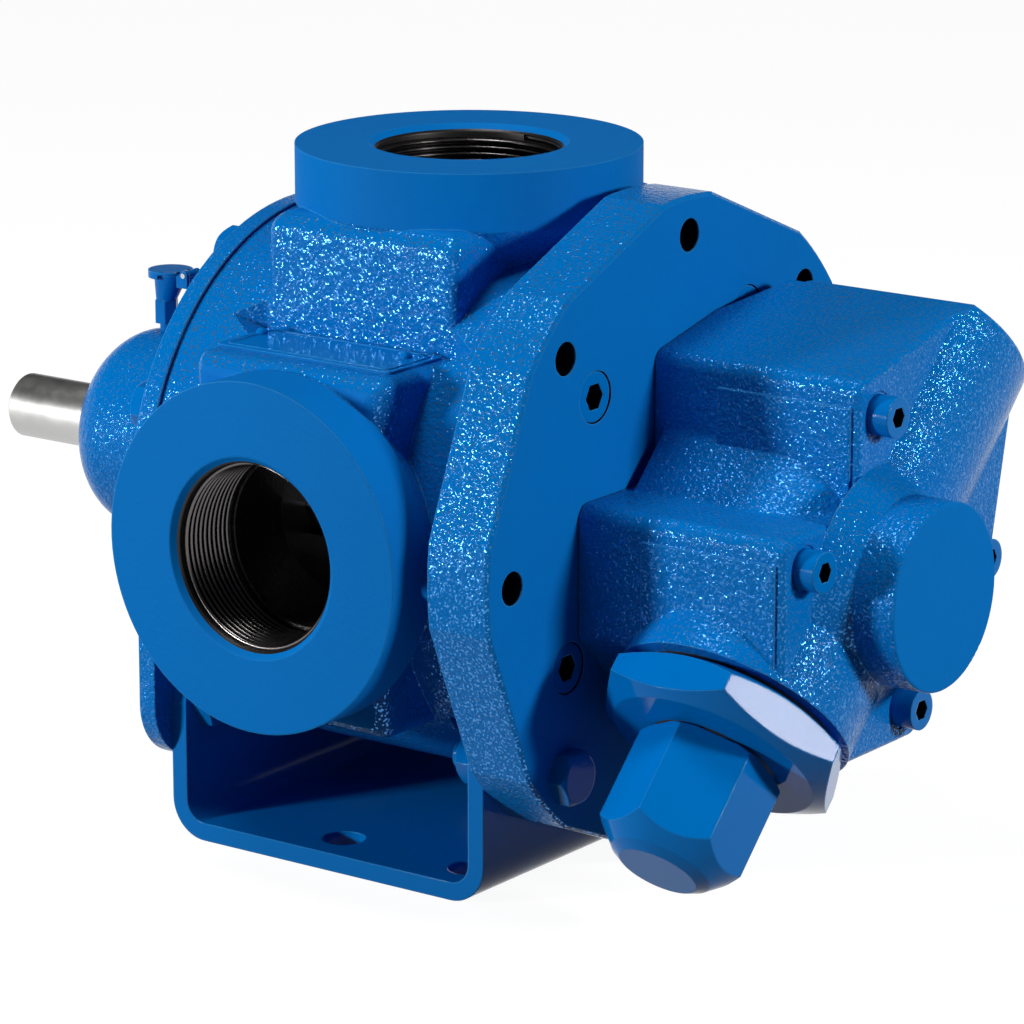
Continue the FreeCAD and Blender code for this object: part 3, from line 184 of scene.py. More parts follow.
def new_group(name: str, inputs: dict[str, float], outputs: dict[str, str]
              ) -> tuple[bpy.types.NodeTree, NodeTree, bpy.types.Node, bpy.types.Node]:
    """Start a shader node group.

    Args:
        name: the group's name.
        inputs: number inputs and their defaults. "Vector" and "Color" are made as such.
        outputs: output names and their socket types.

    Returns:
        The group, its builder, and its input and output nodes.
    """
    group = bpy.data.node_groups.new(name, "ShaderNodeTree")
    for key, value in inputs.items():
        kind = {"Vector": "NodeSocketVector", "Color": "NodeSocketColor"}.get(
            key, "NodeSocketFloat")
        made = group.interface.new_socket(key, in_out="INPUT", socket_type=kind)
        if kind == "NodeSocketFloat":
            made.default_value = value
    for key, kind in outputs.items():
        group.interface.new_socket(key, in_out="OUTPUT", socket_type=kind)
    source = group.nodes.new("NodeGroupInput")
    target = group.nodes.new("NodeGroupOutput")
    return group, NodeTree(group), source, target


def sand_grain_group() -> bpy.types.NodeTree:
    """Relief of sand-cast iron under thick paint.

    Returns:
        A group whose Height is coarse rounded pebbles plus a finer ripple, each times its depth,
        and whose Speck is 1 on small spots that catch the light.
    """
    group, t, source, target = new_group(
        "sand_grain", {"Vector": 0, "Scale": 400, "Depth": 0.0003, "Fine Scale": 1500,
                       "Fine Depth": 0.00005},
        {"Height": "NodeSocketFloat", "Speck": "NodeSocketFloat"})
    vector = source.outputs["Vector"]
    patch_scale, patch_low, patch_high, calm = 38.0, 0.35, 0.65, 0.55
    warp_share, pebble_share = 1.3, 0.7
    speck_scale, speck_low, speck_high = 1250.0, 0.60, 0.66
    warp = t.add("TexNoise", {"Vector": vector, "Scale": source.outputs["Scale"], "Detail": 2.0,
                              "Roughness": 0.55})
    pebble = t.add("TexVoronoi", {"Vector": vector, "Scale": source.outputs["Scale"],
                                  "Smoothness": 0.7}, feature="SMOOTH_F1")
    fine = t.add("TexNoise", {"Vector": vector, "Scale": source.outputs["Fine Scale"],
                              "Detail": 1.0})
    patch = t.add("TexNoise", {"Vector": vector, "Scale": patch_scale, "Detail": 1.0})
    uneven = t.mix_value(t.ramp(patch.outputs[0], patch_low, patch_high), calm, 1.0)
    coarse = t.math("SUBTRACT", t.math("MULTIPLY", warp.outputs[0], warp_share),
                    t.math("MULTIPLY", pebble.outputs[0], pebble_share))
    coarse = t.math("MULTIPLY", t.math("MULTIPLY", coarse, source.outputs["Depth"]), uneven)
    height = t.math("ADD", coarse, t.math("MULTIPLY", fine.outputs[0],
                                          source.outputs["Fine Depth"]))
    speck = t.add("TexNoise", {"Vector": vector, "Scale": speck_scale, "Detail": 0.0})
    t.tree.links.new(height, target.inputs["Height"])
    t.tree.links.new(t.ramp(speck.outputs[0], speck_low, speck_high), target.inputs["Speck"])
    return group


def paint_tint_group() -> bpy.types.NodeTree:
    """Slow change of a paint's colour and gloss over a piece.

    Returns:
        A group with the tinted colour, and the roughness with its share of unevenness.
    """
    group, t, source, target = new_group(
        "paint_tint", {"Vector": 0, "Color": 0, "Roughness": 0.3, "Unevenness": 0.1},
        {"Color": "NodeSocketColor", "Roughness": "NodeSocketFloat"})
    vector = source.outputs["Vector"]
    broad_scale, small_scale, broad_share = 24.0, 210.0, 0.6
    broad = t.add("TexNoise", {"Vector": vector, "Scale": broad_scale, "Detail": 3.0})
    small = t.add("TexNoise", {"Vector": vector, "Scale": small_scale, "Detail": 2.0})
    shade = t.math("ADD", t.math("MULTIPLY", broad.outputs[0], broad_share),
                   t.math("MULTIPLY", small.outputs[0], 1.0 - broad_share))
    centred = t.math("SUBTRACT", shade, 0.5)
    gain = t.math("ADD", 1.0, t.math("MULTIPLY", centred, source.outputs["Unevenness"]))
    tinted = t.add("VectorMath", {0: source.outputs["Color"]}, operation="SCALE")
    t.tree.links.new(gain, tinted.inputs["Scale"])
    rough = t.math("ADD", source.outputs["Roughness"],
                   t.math("MULTIPLY", centred, source.outputs["Unevenness"]))
    t.tree.links.new(tinted.outputs[0], target.inputs["Color"])
    t.tree.links.new(rough, target.inputs["Roughness"])
    return group


def tool_lines_group() -> bpy.types.NodeTree:
    """Fine parallel lines left by a cutter.

    Returns:
        A group whose Height is bands along the vector's X, broken up along the other axes.
    """
    group, t, source, target = new_group(
        "tool_lines", {"Vector": 0, "Scale": 900, "Depth": 0.00001},
        {"Height": "NodeSocketFloat"})
    stretch = 0.02           # share of the pattern's scale along the lines
    stretched = t.add("Mapping", {"Vector": source.outputs["Vector"],
                                  "Scale": (1.0, stretch, stretch)})
    lines = t.add("TexNoise", {"Vector": stretched.outputs[0], "Scale": source.outputs["Scale"],
                               "Detail": 3.0, "Roughness": 0.6})
    height = t.math("MULTIPLY", lines.outputs[0], source.outputs["Depth"])
    t.tree.links.new(height, target.inputs["Height"])
    return group


def bore_mask_group() -> bpy.types.NodeTree:
    """Marks the bare inside of the two ports and the chamber behind them.

    Returns:
        A group whose Mask is 1 where the vector lies within a radius of either port's axis.
    """
    group, t, source, target = new_group("bore_mask", {"Vector": 0, "Radius": 0.0308},
                                         {"Mask": "NodeSocketFloat"})
    split = t.add("SeparateXYZ", {0: source.outputs["Vector"]})
    x, y, z = split.outputs
    up = t.math("SUBTRACT", z, AXIS_HEIGHT)
    square = [t.math("POWER", s, 2.0) for s in (x, y, up)]
    radius = source.outputs["Radius"]
    top = t.math("LESS_THAN", t.math("SQRT", t.math("ADD", square[0], square[1])), radius)
    side = t.math("LESS_THAN", t.math("SQRT", t.math("ADD", square[0], square[2])), radius)
    top = t.math("MULTIPLY", top, t.math("GREATER_THAN", up, 0.0))
    side = t.math("MULTIPLY", side, t.math("LESS_THAN", y, 0.0))
    t.tree.links.new(t.math("MAXIMUM", top, side), target.inputs["Mask"])
    return group


def ring_mask_group() -> bpy.types.NodeTree:
    """Marks holes spaced evenly on a circle about the shaft axis.

    The angle from the top towards the side port is folded into one step, and the distance to
    the hole's centre in that step is compared with the hole's radius.

    Returns:
        A group whose Mask is 1 inside the holes and behind a station along X.
    """
    group, t, source, target = new_group(
        "ring_mask", {"Vector": 0, "Circle": 0.09, "Count": 8, "Start": 0, "Radius": 0.005,
                      "Front": 0.08}, {"Mask": "NodeSocketFloat"})
    split = t.add("SeparateXYZ", {0: source.outputs["Vector"]})
    x, y, z = split.outputs
    up = t.math("SUBTRACT", z, AXIS_HEIGHT)
    left = t.math("MULTIPLY", y, -1.0)
    angle = t.math("SUBTRACT", t.math("ARCTAN2", left, up), source.outputs["Start"])
    step = t.math("DIVIDE", TAU, source.outputs["Count"])
    share = t.math("ADD", t.math("DIVIDE", angle, step), 0.5)
    local = t.math("MULTIPLY", t.math("SUBTRACT", t.math("FRACT", share), 0.5), step)
    reach = t.math("SQRT", t.math("ADD", t.math("POWER", y, 2.0), t.math("POWER", up, 2.0)))
    out = t.math("SUBTRACT", t.math("MULTIPLY", reach, t.math("COSINE", local)),
                 source.outputs["Circle"])
    side = t.math("MULTIPLY", reach, t.math("SINE", local))
    distance = t.math("SQRT", t.math("ADD", t.math("POWER", out, 2.0), t.math("POWER", side, 2.0)))
    inside = t.math("LESS_THAN", distance, source.outputs["Radius"])
    behind = t.math("LESS_THAN", x, source.outputs["Front"])
    t.tree.links.new(t.math("MULTIPLY", inside, behind), target.inputs["Mask"])
    return group


def corner_mask_group() -> bpy.types.NodeTree:
    """Marks the sockets of the relief valve's four screws.

    The place is turned into the valve's own axes, folded into one quarter, and its distance to
    the screw there is compared with the socket's radius.

    Returns:
        A group whose Mask is 1 inside the sockets.
    """
    group, t, source, target = new_group(
        "corner_mask", {"Vector": 0, "Along": 0.0285, "Across": 0.0406, "Radius": 0.0036,
                        "Front": 0.1702}, {"Mask": "NodeSocketFloat"})
    split = t.add("SeparateXYZ", {0: source.outputs["Vector"]})
    x, y, z = split.outputs
    up = t.math("SUBTRACT", z, AXIS_HEIGHT)
    along = t.math("ABSOLUTE", t.math("MULTIPLY", t.math("ADD", y, up), DIAGONAL))
    across = t.math("ABSOLUTE", t.math("MULTIPLY", t.math("SUBTRACT", up, y), DIAGONAL))
    gaps = [t.math("POWER", t.math("SUBTRACT", along, source.outputs["Along"]), 2.0),
            t.math("POWER", t.math("SUBTRACT", across, source.outputs["Across"]), 2.0)]
    distance = t.math("SQRT", t.math("ADD", *gaps))
    inside = t.math("LESS_THAN", distance, source.outputs["Radius"])
    behind = t.math("LESS_THAN", x, source.outputs["Front"])
    t.tree.links.new(t.math("MULTIPLY", inside, behind), target.inputs["Mask"])
    return group


class Groups:
    """The shared effects, each built once."""

    def __init__(self) -> None:
        """Build every group."""
        self.grain = sand_grain_group()
        self.tint = paint_tint_group()
        self.lines = tool_lines_group()
        self.bore = bore_mask_group()
        self.ring = ring_mask_group()
        self.corner = corner_mask_group()


def start_material(name: str) -> tuple[bpy.types.Material, NodeTree, bpy.types.Node,
                                       bpy.types.NodeSocket]:
    """Start a material.

    Args:
        name: the material's name.

    Returns:
        The material, its builder, its shader and the Object coordinates.
    """
    material = bpy.data.materials.new(name)
    material.use_nodes = True
    t = NodeTree(material.node_tree)
    shader = material.node_tree.nodes["Principled BSDF"]
    coordinates = t.add("TexCoord").outputs["Object"]
    return material, t, shader, coordinates


@dataclass(frozen=True)
class Holes:
    """Holes whose insides get painted shade, a near-black colour.

    Args:
        front: station along X behind which they are marked, in metres.
        radius: radius of each.
        circle: radius of the circle that they lie on, or 0 for the relief valve's four screws.
        count: how many lie on it.
        start: angle of the first from the top towards the side port, in degrees.
    """

    front: float
    radius: float
    circle: float = 0.0
    count: int = 8
    start: float = 0.0


@dataclass(frozen=True)
class PaintLook:
    """Numbers that every coat of the blue enamel shares.

    Args:
        ior: the paint's index of refraction.
        uneven: how far its colour and gloss drift over a piece.
        edge_radius: radius that sharp edges look rounded to, in metres.
        edge_samples: rays that look for those edges.
        edge_highlight_color: colour of the painted highlight, a thin light line along an edge.
        edge_highlight_share: how much of that colour the line takes.
        edge_highlight_range: how far the rounded surface leans at the line's middle and at its
            border, as cosines.
        plane_roughness: roughness of a machined plane.
        plane_relief: share of the cast relief that is left on it.
        cutter_scale: cutter lines per metre.
        cutter_depth: their depth, in metres.
        speck_color: colour of the bright specks on cast faces.
        speck_roughness: their roughness.
        bore_color: colour of bare iron in the ports.
        bore_roughness: its roughness.
        bore_metallic: how metallic it is.
        hole_shade_color: near-black painted shade inside the holes.
        hole_roughness: roughness inside them.
    """

    ior: float = 1.14
    uneven: float = 0.1
    edge_radius: float = 0.0009
    edge_samples: int = 6
    # the next three set the painted highlight, a lighter blue along sharp edges
    edge_highlight_color: Color = (0.06, 0.34, 0.70, 1.0)
    edge_highlight_share: float = 0.75
    edge_highlight_range: tuple[float, float] = (0.76, 0.93)
    plane_roughness: float = 0.65
    plane_relief: float = 0.16
    cutter_scale: float = 1500.0
    cutter_depth: float = 0.00005
    speck_color: Color = (0.11, 0.35, 0.74, 1.0)
    speck_roughness: float = 0.22
    bore_color: Color = (0.045, 0.043, 0.042, 1.0)
    bore_roughness: float = 0.42
    bore_metallic: float = 0.85
    # painted shade inside the holes
    hole_shade_color: Color = (0.0, 0.002, 0.008, 1.0)
    hole_roughness: float = 0.8


LOOK = PaintLook()


@dataclass(frozen=True)
class Enamel:
    """Glossy blue paint over one kind of surface.

    Args:
        name: the material's name.
        surface: what lies under the paint.
        color: the paint's linear colour.
        roughness: the paint's roughness.
        faces: machined planes as (axis, station in metres, side), which get less relief.
        bare_bores: whether the insides of the ports are unpainted.
        lines: whether the machined planes show cutter lines.
        holes: holes whose insides get painted shade.
        glint: how metallic the specks of a cast face look.
    """

    name: str
    surface: Surface
    color: tuple[float, float, float] = (0.0, 0.160, 0.520)
    roughness: float = 0.1
    faces: tuple[tuple[str, float, int], ...] = ()
    bare_bores: bool = False
    lines: bool = False
    holes: tuple[Holes, ...] = ()
    glint: float = 0.6

    def make(self, groups: Groups) -> bpy.types.Material:
        """Build the material.

        Args:
            groups: the shared effects.

        Returns:
            The material.
        """
        material, t, shader, place = start_material(self.name)
        grain = GRAINS[self.surface]
        tint = t.add("Group", {"Vector": place, "Color": (*self.color, 1.0),
                               "Roughness": self.roughness, "Unevenness": LOOK.uneven},
                     node_tree=groups.tint)
        relief = t.add("Group", {"Vector": place, "Scale": grain.scale, "Depth": grain.depth,
                                 "Fine Scale": grain.fine_scale,
                                 "Fine Depth": grain.fine_depth}, node_tree=groups.grain)
        height = relief.outputs["Height"]
        color = tint.outputs["Color"]
        rough = tint.outputs["Roughness"]
        if self.faces:
            smooth = self._machined(t, place)
            rough = t.mix_value(smooth, rough, LOOK.plane_roughness)
            height = t.math("MULTIPLY", height, t.mix_value(smooth, 1.0, LOOK.plane_relief))
            if self.lines:
                marks = self._cutter_marks(t, place, groups)
                height = t.math("ADD", height, t.math("MULTIPLY", smooth, marks))
        edge = t.add("Bevel", {"Radius": LOOK.edge_radius}, samples=LOOK.edge_samples)
        # painted highlight: a lighter blue along every sharp edge, standing in for light caught by
        # the rounded edge
        color = t.mix_color(self._painted_edge_highlight(t, edge.outputs[0]), color, LOOK.edge_highlight_color)
        metallic = None
        if self.surface is Surface.CAST:
            metallic = t.math("MULTIPLY", relief.outputs["Speck"], self.glint)
            if self.faces:
                metallic = t.math("MULTIPLY", metallic, t.mix_value(smooth, 1.0, 0.0))
            color = t.mix_color(metallic, color, LOOK.speck_color)
            rough = t.mix_value(metallic, rough, LOOK.speck_roughness)
        if self.bare_bores:
            bore = t.add("Group", {"Vector": place}, node_tree=groups.bore).outputs["Mask"]
            color = t.mix_color(bore, color, LOOK.bore_color)
            rough = t.mix_value(bore, rough, LOOK.bore_roughness)
            metallic = t.mix_value(bore, metallic, LOOK.bore_metallic)
        # painted shade: near-black colour inside screw sockets and flange holes, where shade falls
        if self.holes:
            dark = self._painted_hole_shade(t, place, groups)
            color = t.mix_color(dark, color, LOOK.hole_shade_color)
            rough = t.mix_value(dark, rough, LOOK.hole_roughness)
        bump = t.add("Bump", {"Height": height, "Strength": 1.0, "Distance": 1.0,
                              "Normal": edge.outputs[0]})
        t.tree.links.new(color, shader.inputs["Base Color"])
        t.tree.links.new(rough, shader.inputs["Roughness"])
        if metallic is not None:
            t.tree.links.new(metallic, shader.inputs["Metallic"])
        t.tree.links.new(bump.outputs[0], shader.inputs["Normal"])
        shader.inputs["IOR"].default_value = LOOK.ior
        return material

    def _painted_edge_highlight(self, t: NodeTree, rounded: bpy.types.NodeSocket) -> bpy.types.NodeSocket:
        """Mark the painted highlight, a light line along sharp edges, where the rounded surface
        leans over.

        Args:
            t: the material's builder.
            rounded: the normal of the surface with its edges rounded.

        Returns:
            A socket that rises to the line's share at an edge.
        """
        level = t.add("VectorMath", {0: rounded, 1: t.add("NewGeometry").outputs["Normal"]},
                      operation="DOT_PRODUCT").outputs["Value"]
        flat = t.math("MULTIPLY", t.ramp(level, *LOOK.edge_highlight_range), LOOK.edge_highlight_share)
        return t.math("SUBTRACT", LOOK.edge_highlight_share, flat)

    def _cutter_marks(self, t: NodeTree, place: bpy.types.NodeSocket, groups: Groups
                      ) -> bpy.types.NodeSocket:
        """Lay cutter lines along the valve's own diagonal.

        Args:
            t: the material's builder.
            place: the Object coordinates.
            groups: the shared effects.

        Returns:
            The lines' height.
        """
        turned = t.add("Mapping", {"Vector": place, "Rotation": (math.radians(45), 0, 0)})
        across = t.add("Mapping", {"Vector": turned.outputs[0],
                                   "Rotation": (0, 0, math.radians(90))})
        marks = t.add("Group", {"Vector": across.outputs[0], "Scale": LOOK.cutter_scale,
                                "Depth": LOOK.cutter_depth}, node_tree=groups.lines)
        return marks.outputs["Height"]

    def _painted_hole_shade(self, t: NodeTree, place: bpy.types.NodeSocket, groups: Groups
              ) -> bpy.types.NodeSocket:
        """Mark the insides of the holes, which get painted shade.

        Args:
            t: the material's builder.
            place: the Object coordinates.
            groups: the shared effects.

        Returns:
            A socket that is 1 inside them.
        """
        total = None
        for holes in self.holes:
            kind = groups.ring if holes.circle else groups.corner
            inputs = {"Vector": place, "Radius": holes.radius, "Front": holes.front}
            if holes.circle:
                inputs |= {"Circle": holes.circle, "Count": holes.count,
                           "Start": math.radians(holes.start)}
            mask = t.add("Group", inputs, node_tree=kind).outputs["Mask"]
            total = mask if total is None else t.math("MAXIMUM", total, mask)
        return total

    def _machined(self, t: NodeTree, place: bpy.types.NodeSocket) -> bpy.types.NodeSocket:
        """Mark the machined planes.

        Args:
            t: the material's builder.
            place: the Object coordinates.

        Returns:
            A socket that is 1 on those planes.
        """
        split = t.add("SeparateXYZ", {0: place})
        total = None
        for axis, station, side in self.faces:
            value = split.outputs["XYZ".index(axis)]
            mask = t.math("GREATER_THAN" if side > 0 else "LESS_THAN", value, station)
            total = mask if total is None else t.math("MAXIMUM", total, mask)
        return total


@dataclass(frozen=True)
class Metal:
    """Bare metal with turned rings or fine lines.

    Args:
        name: the material's name.
        color: its linear colour.
        roughness: its roughness.
        line_scale: lines per metre along X.
        line_depth: depth of the lines, in metres.
        uneven: how far its colour and gloss drift.
    """

    name: str
    color: tuple[float, float, float]
    roughness: float = 0.3
    line_scale: float = 2200.0
    line_depth: float = 0.000012
    uneven: float = 0.35

    def make(self, groups: Groups) -> bpy.types.Material:
        """Build the material.

        Args:
            groups: the shared effects.

        Returns:
            The material.
        """
        material, t, shader, place = start_material(self.name)
        tint = t.add("Group", {"Vector": place, "Color": (*self.color, 1.0),
                               "Roughness": self.roughness, "Unevenness": self.uneven},
                     node_tree=groups.tint)
        marks = t.add("Group", {"Vector": place, "Scale": self.line_scale,
                                "Depth": self.line_depth}, node_tree=groups.lines)
        bump = t.add("Bump", {"Height": marks.outputs["Height"], "Distance": 1.0})
        t.tree.links.new(tint.outputs["Color"], shader.inputs["Base Color"])
        t.tree.links.new(tint.outputs["Roughness"], shader.inputs["Roughness"])
        t.tree.links.new(bump.outputs[0], shader.inputs["Normal"])
        shader.inputs["Metallic"].default_value = 1.0
        return material


@dataclass(frozen=True)
class Soft:
    """Rubber, fibre sheet or carbon, with a fine matt grain.

    Args:
        name: the material's name.
        color: its linear colour.
        roughness: its roughness.
        scale: grains per metre.
        depth: height of the grains, in metres.
        fine_depth: height of the ripple on them, in metres.
        uneven: how far its colour and gloss drift.
    """

    name: str
    color: tuple[float, float, float]
    roughness: float = 0.6
    scale: float = 1800.0
    depth: float = 0.00003
    fine_depth: float = 0.00001
    uneven: float = 0.3

    def make(self, groups: Groups) -> bpy.types.Material:
        """Build the material.

        Args:
            groups: the shared effects.

        Returns:
            The material.
        """
        material, t, shader, place = start_material(self.name)
        tint = t.add("Group", {"Vector": place, "Color": (*self.color, 1.0),
                               "Roughness": self.roughness, "Unevenness": self.uneven},
                     node_tree=groups.tint)
        relief = t.add("Group", {"Vector": place, "Scale": self.scale, "Depth": self.depth,
                                 "Fine Depth": self.fine_depth}, node_tree=groups.grain)
        bump = t.add("Bump", {"Height": relief.outputs["Height"], "Distance": 1.0})
        t.tree.links.new(tint.outputs["Color"], shader.inputs["Base Color"])
        t.tree.links.new(tint.outputs["Roughness"], shader.inputs["Roughness"])
        t.tree.links.new(bump.outputs[0], shader.inputs["Normal"])
        return material


def dress(name: str, material: bpy.types.Material) -> None:
    """Give a CAD node a material.

    Args:
        name: the node's name.
        material: its material.
    """
    node = frame["nodes"][name]
    if not node.material_slots:
        node.data.materials.append(material)
    for holder in node.material_slots:
        holder.material = material


def grid_faces(rows: int, columns: int, wrap_columns: bool) -> np.ndarray:
    """Quads of a grid of points stored row by row.

    Args:
        rows: number of rows.
        columns: points in a row.
        wrap_columns: whether the last column joins the first.

    Returns:
        An array of four indices for each quad.
    """
    steps = columns if wrap_columns else columns - 1
    i, j = np.meshgrid(np.arange(rows - 1), np.arange(steps), indexing="ij")
    following = (j + 1) % columns
    quads = np.stack([i * columns + j, i * columns + following,
                      (i + 1) * columns + following, (i + 1) * columns + j], axis=-1)
    return quads.reshape(-1, 4)


@dataclass
class Shell:
    """A named mesh made from arrays.

    Args:
        name: the piece's name.
        points: vertex positions, in metres, in the row frame.
        faces: vertex indices of each face.
    """

    name: str
    points: np.ndarray
    faces: list[tuple[int, ...]]

    def build(self, material: bpy.types.Material, body: str, slot: str) -> bpy.types.Object:
        """Make the object, dress it and fix it to a body.

        Args:
            material: its material.
            body: the CAD body it moves with.
            slot: the record's material slot; not used.

        Returns:
            The new object.
        """
        mesh = bpy.data.meshes.new(self.name)
        mesh.from_pydata(self.points.tolist(), [], self.faces)
        mesh.validate()
        mesh.polygons.foreach_set("use_smooth", np.full(len(mesh.polygons), True))
        mesh.materials.append(material)
        made = bpy.data.objects.new(self.name, mesh)
        bpy.context.scene.collection.objects.link(made)
        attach(made, body)
        LOG.info("%s: %d faces", self.name, len(mesh.polygons))
        return made


@dataclass
class PortThread:
    """Cut thread inside one port.

    Args:
        place: which port.
        wall: radius of the bore that carries the thread.
        crest: radius of the thread's crest at the mouth.
        pitch: distance from one turn to the next.
        turns: number of turns.
        mouth: depth of the first turn below the port's face.
        steps: points in a turn.
        foot: half width of the ridge's foot, in pitches.
        top: half width of its crest, in pitches.
        fade_turns: turns over which the ridge rises from the wall at each end.
    """

    place: Place
    wall: float = 0.0301
    crest: float = 0.0288
    pitch: float = 0.002209
    turns: float = 10.6
    mouth: float = 0.0022
    steps: int = 88
    foot: float = 0.47
    top: float = 0.06
    fade_turns: float = 0.4

    def build(self, material: bpy.types.Material) -> bpy.types.Object:
        """Make the thread: a ridge of triangular section carried along a helix.

        The angle runs along the rows and the section's corners along the columns. Depth grows
        with the angle by one pitch a turn, and the ridge sinks into the wall at both ends.

        Args:
            material: the bare metal.

        Returns:
            The thread piece.
        """
        count = int(self.turns * self.steps)
        angle = np.linspace(0.0, TAU * self.turns, count)[:, None]
        section = np.array([[-self.foot, 0.0], [-self.top, 1.0], [self.top, 1.0],
                            [self.foot, 0.0]])
        depth = self.mouth + self.pitch * (angle / TAU + 0.5 + section[None, :, 0])
        left = np.minimum(angle, TAU * self.turns - angle)
        fade = np.clip(left / (TAU * self.fade_turns), 0.0, 1.0)
        height = (self.wall - self.crest) * fade * section[None, :, 1]
        radius = self.wall - height
        out, across, along = (np.array(v, float) for v in self.place.value)
        centre = np.array([0.0, 0.0, AXIS_HEIGHT]) + out * PORT_REACH
        points = (centre - out * depth[..., None]
                  + across * (radius * np.cos(angle))[..., None]
                  + along * (radius * np.sin(angle))[..., None])
        faces = grid_faces(count, 4, True)
        if np.linalg.det(np.stack([across, along, out])) < 0:
            faces = faces[:, ::-1]
        caps = [(3, 2, 1, 0), tuple(range(4 * count - 4, 4 * count))]
        name = f"{self.place.name.lower()}_port_thread"
        faces = [tuple(f) for f in faces.tolist()] + caps
        return Shell(name, points.reshape(-1, 3), faces).build(material, "housing",
                                                               "inner_steel")


@dataclass
class PlateRim:
    """Raised bead round the bare nameplate.

    Args:
        centre: middle of the plate's top face.
        half_length: half of the bead's length along X.
        half_depth: half of its depth along Y.
        corner: radius of its corners.
        width: half width of the bead.
        height: height of the bead.
        path_points: points round the plate.
        section_points: points across the bead.
    """

    centre: tuple[float, float, float] = (-0.0013, -0.0723, 0.1709)
    half_length: float = 0.0322
    half_depth: float = 0.0115
    corner: float = 0.0022
    width: float = 0.0005
    height: float = 0.00035
    path_points: int = 64
    section_points: int = 7

    def build(self, material: bpy.types.Material) -> bpy.types.Object:
        """Make the bead: a half-round section carried round a rounded rectangle.

        A point of the path is a corner's centre plus the corner radius along the path's
        turning angle; the section rises as a half circle across it.

        Args:
            material: the plate's paint.

        Returns:
            The bead piece.
        """
        turn = np.linspace(0.0, TAU, self.path_points, endpoint=False)
        out = np.stack([np.cos(turn), np.sin(turn)], axis=1)
        nudge = 1e-9             # gives a point on an axis to one of its two corners
        corner = np.sign(out + nudge) * np.array([self.half_length - self.corner,
                                                  self.half_depth - self.corner])
        sweep = np.linspace(0.0, math.pi, self.section_points)
        reach = self.corner + self.width * np.cos(sweep)
        flat = corner[:, None, :] + out[:, None, :] * reach[None, :, None]
        rise = np.broadcast_to(self.height * np.sin(sweep), flat.shape[:2])
        points = np.concatenate([flat, rise[..., None]], axis=-1) + np.array(self.centre)
        points = np.concatenate([points, points[:1]]).reshape(-1, 3)
        quads = grid_faces(self.path_points + 1, self.section_points, True)
        faces = [tuple(f) for f in quads.tolist()]
        return Shell("nameplate_rim", points, faces).build(material, "housing", "blue_paint")


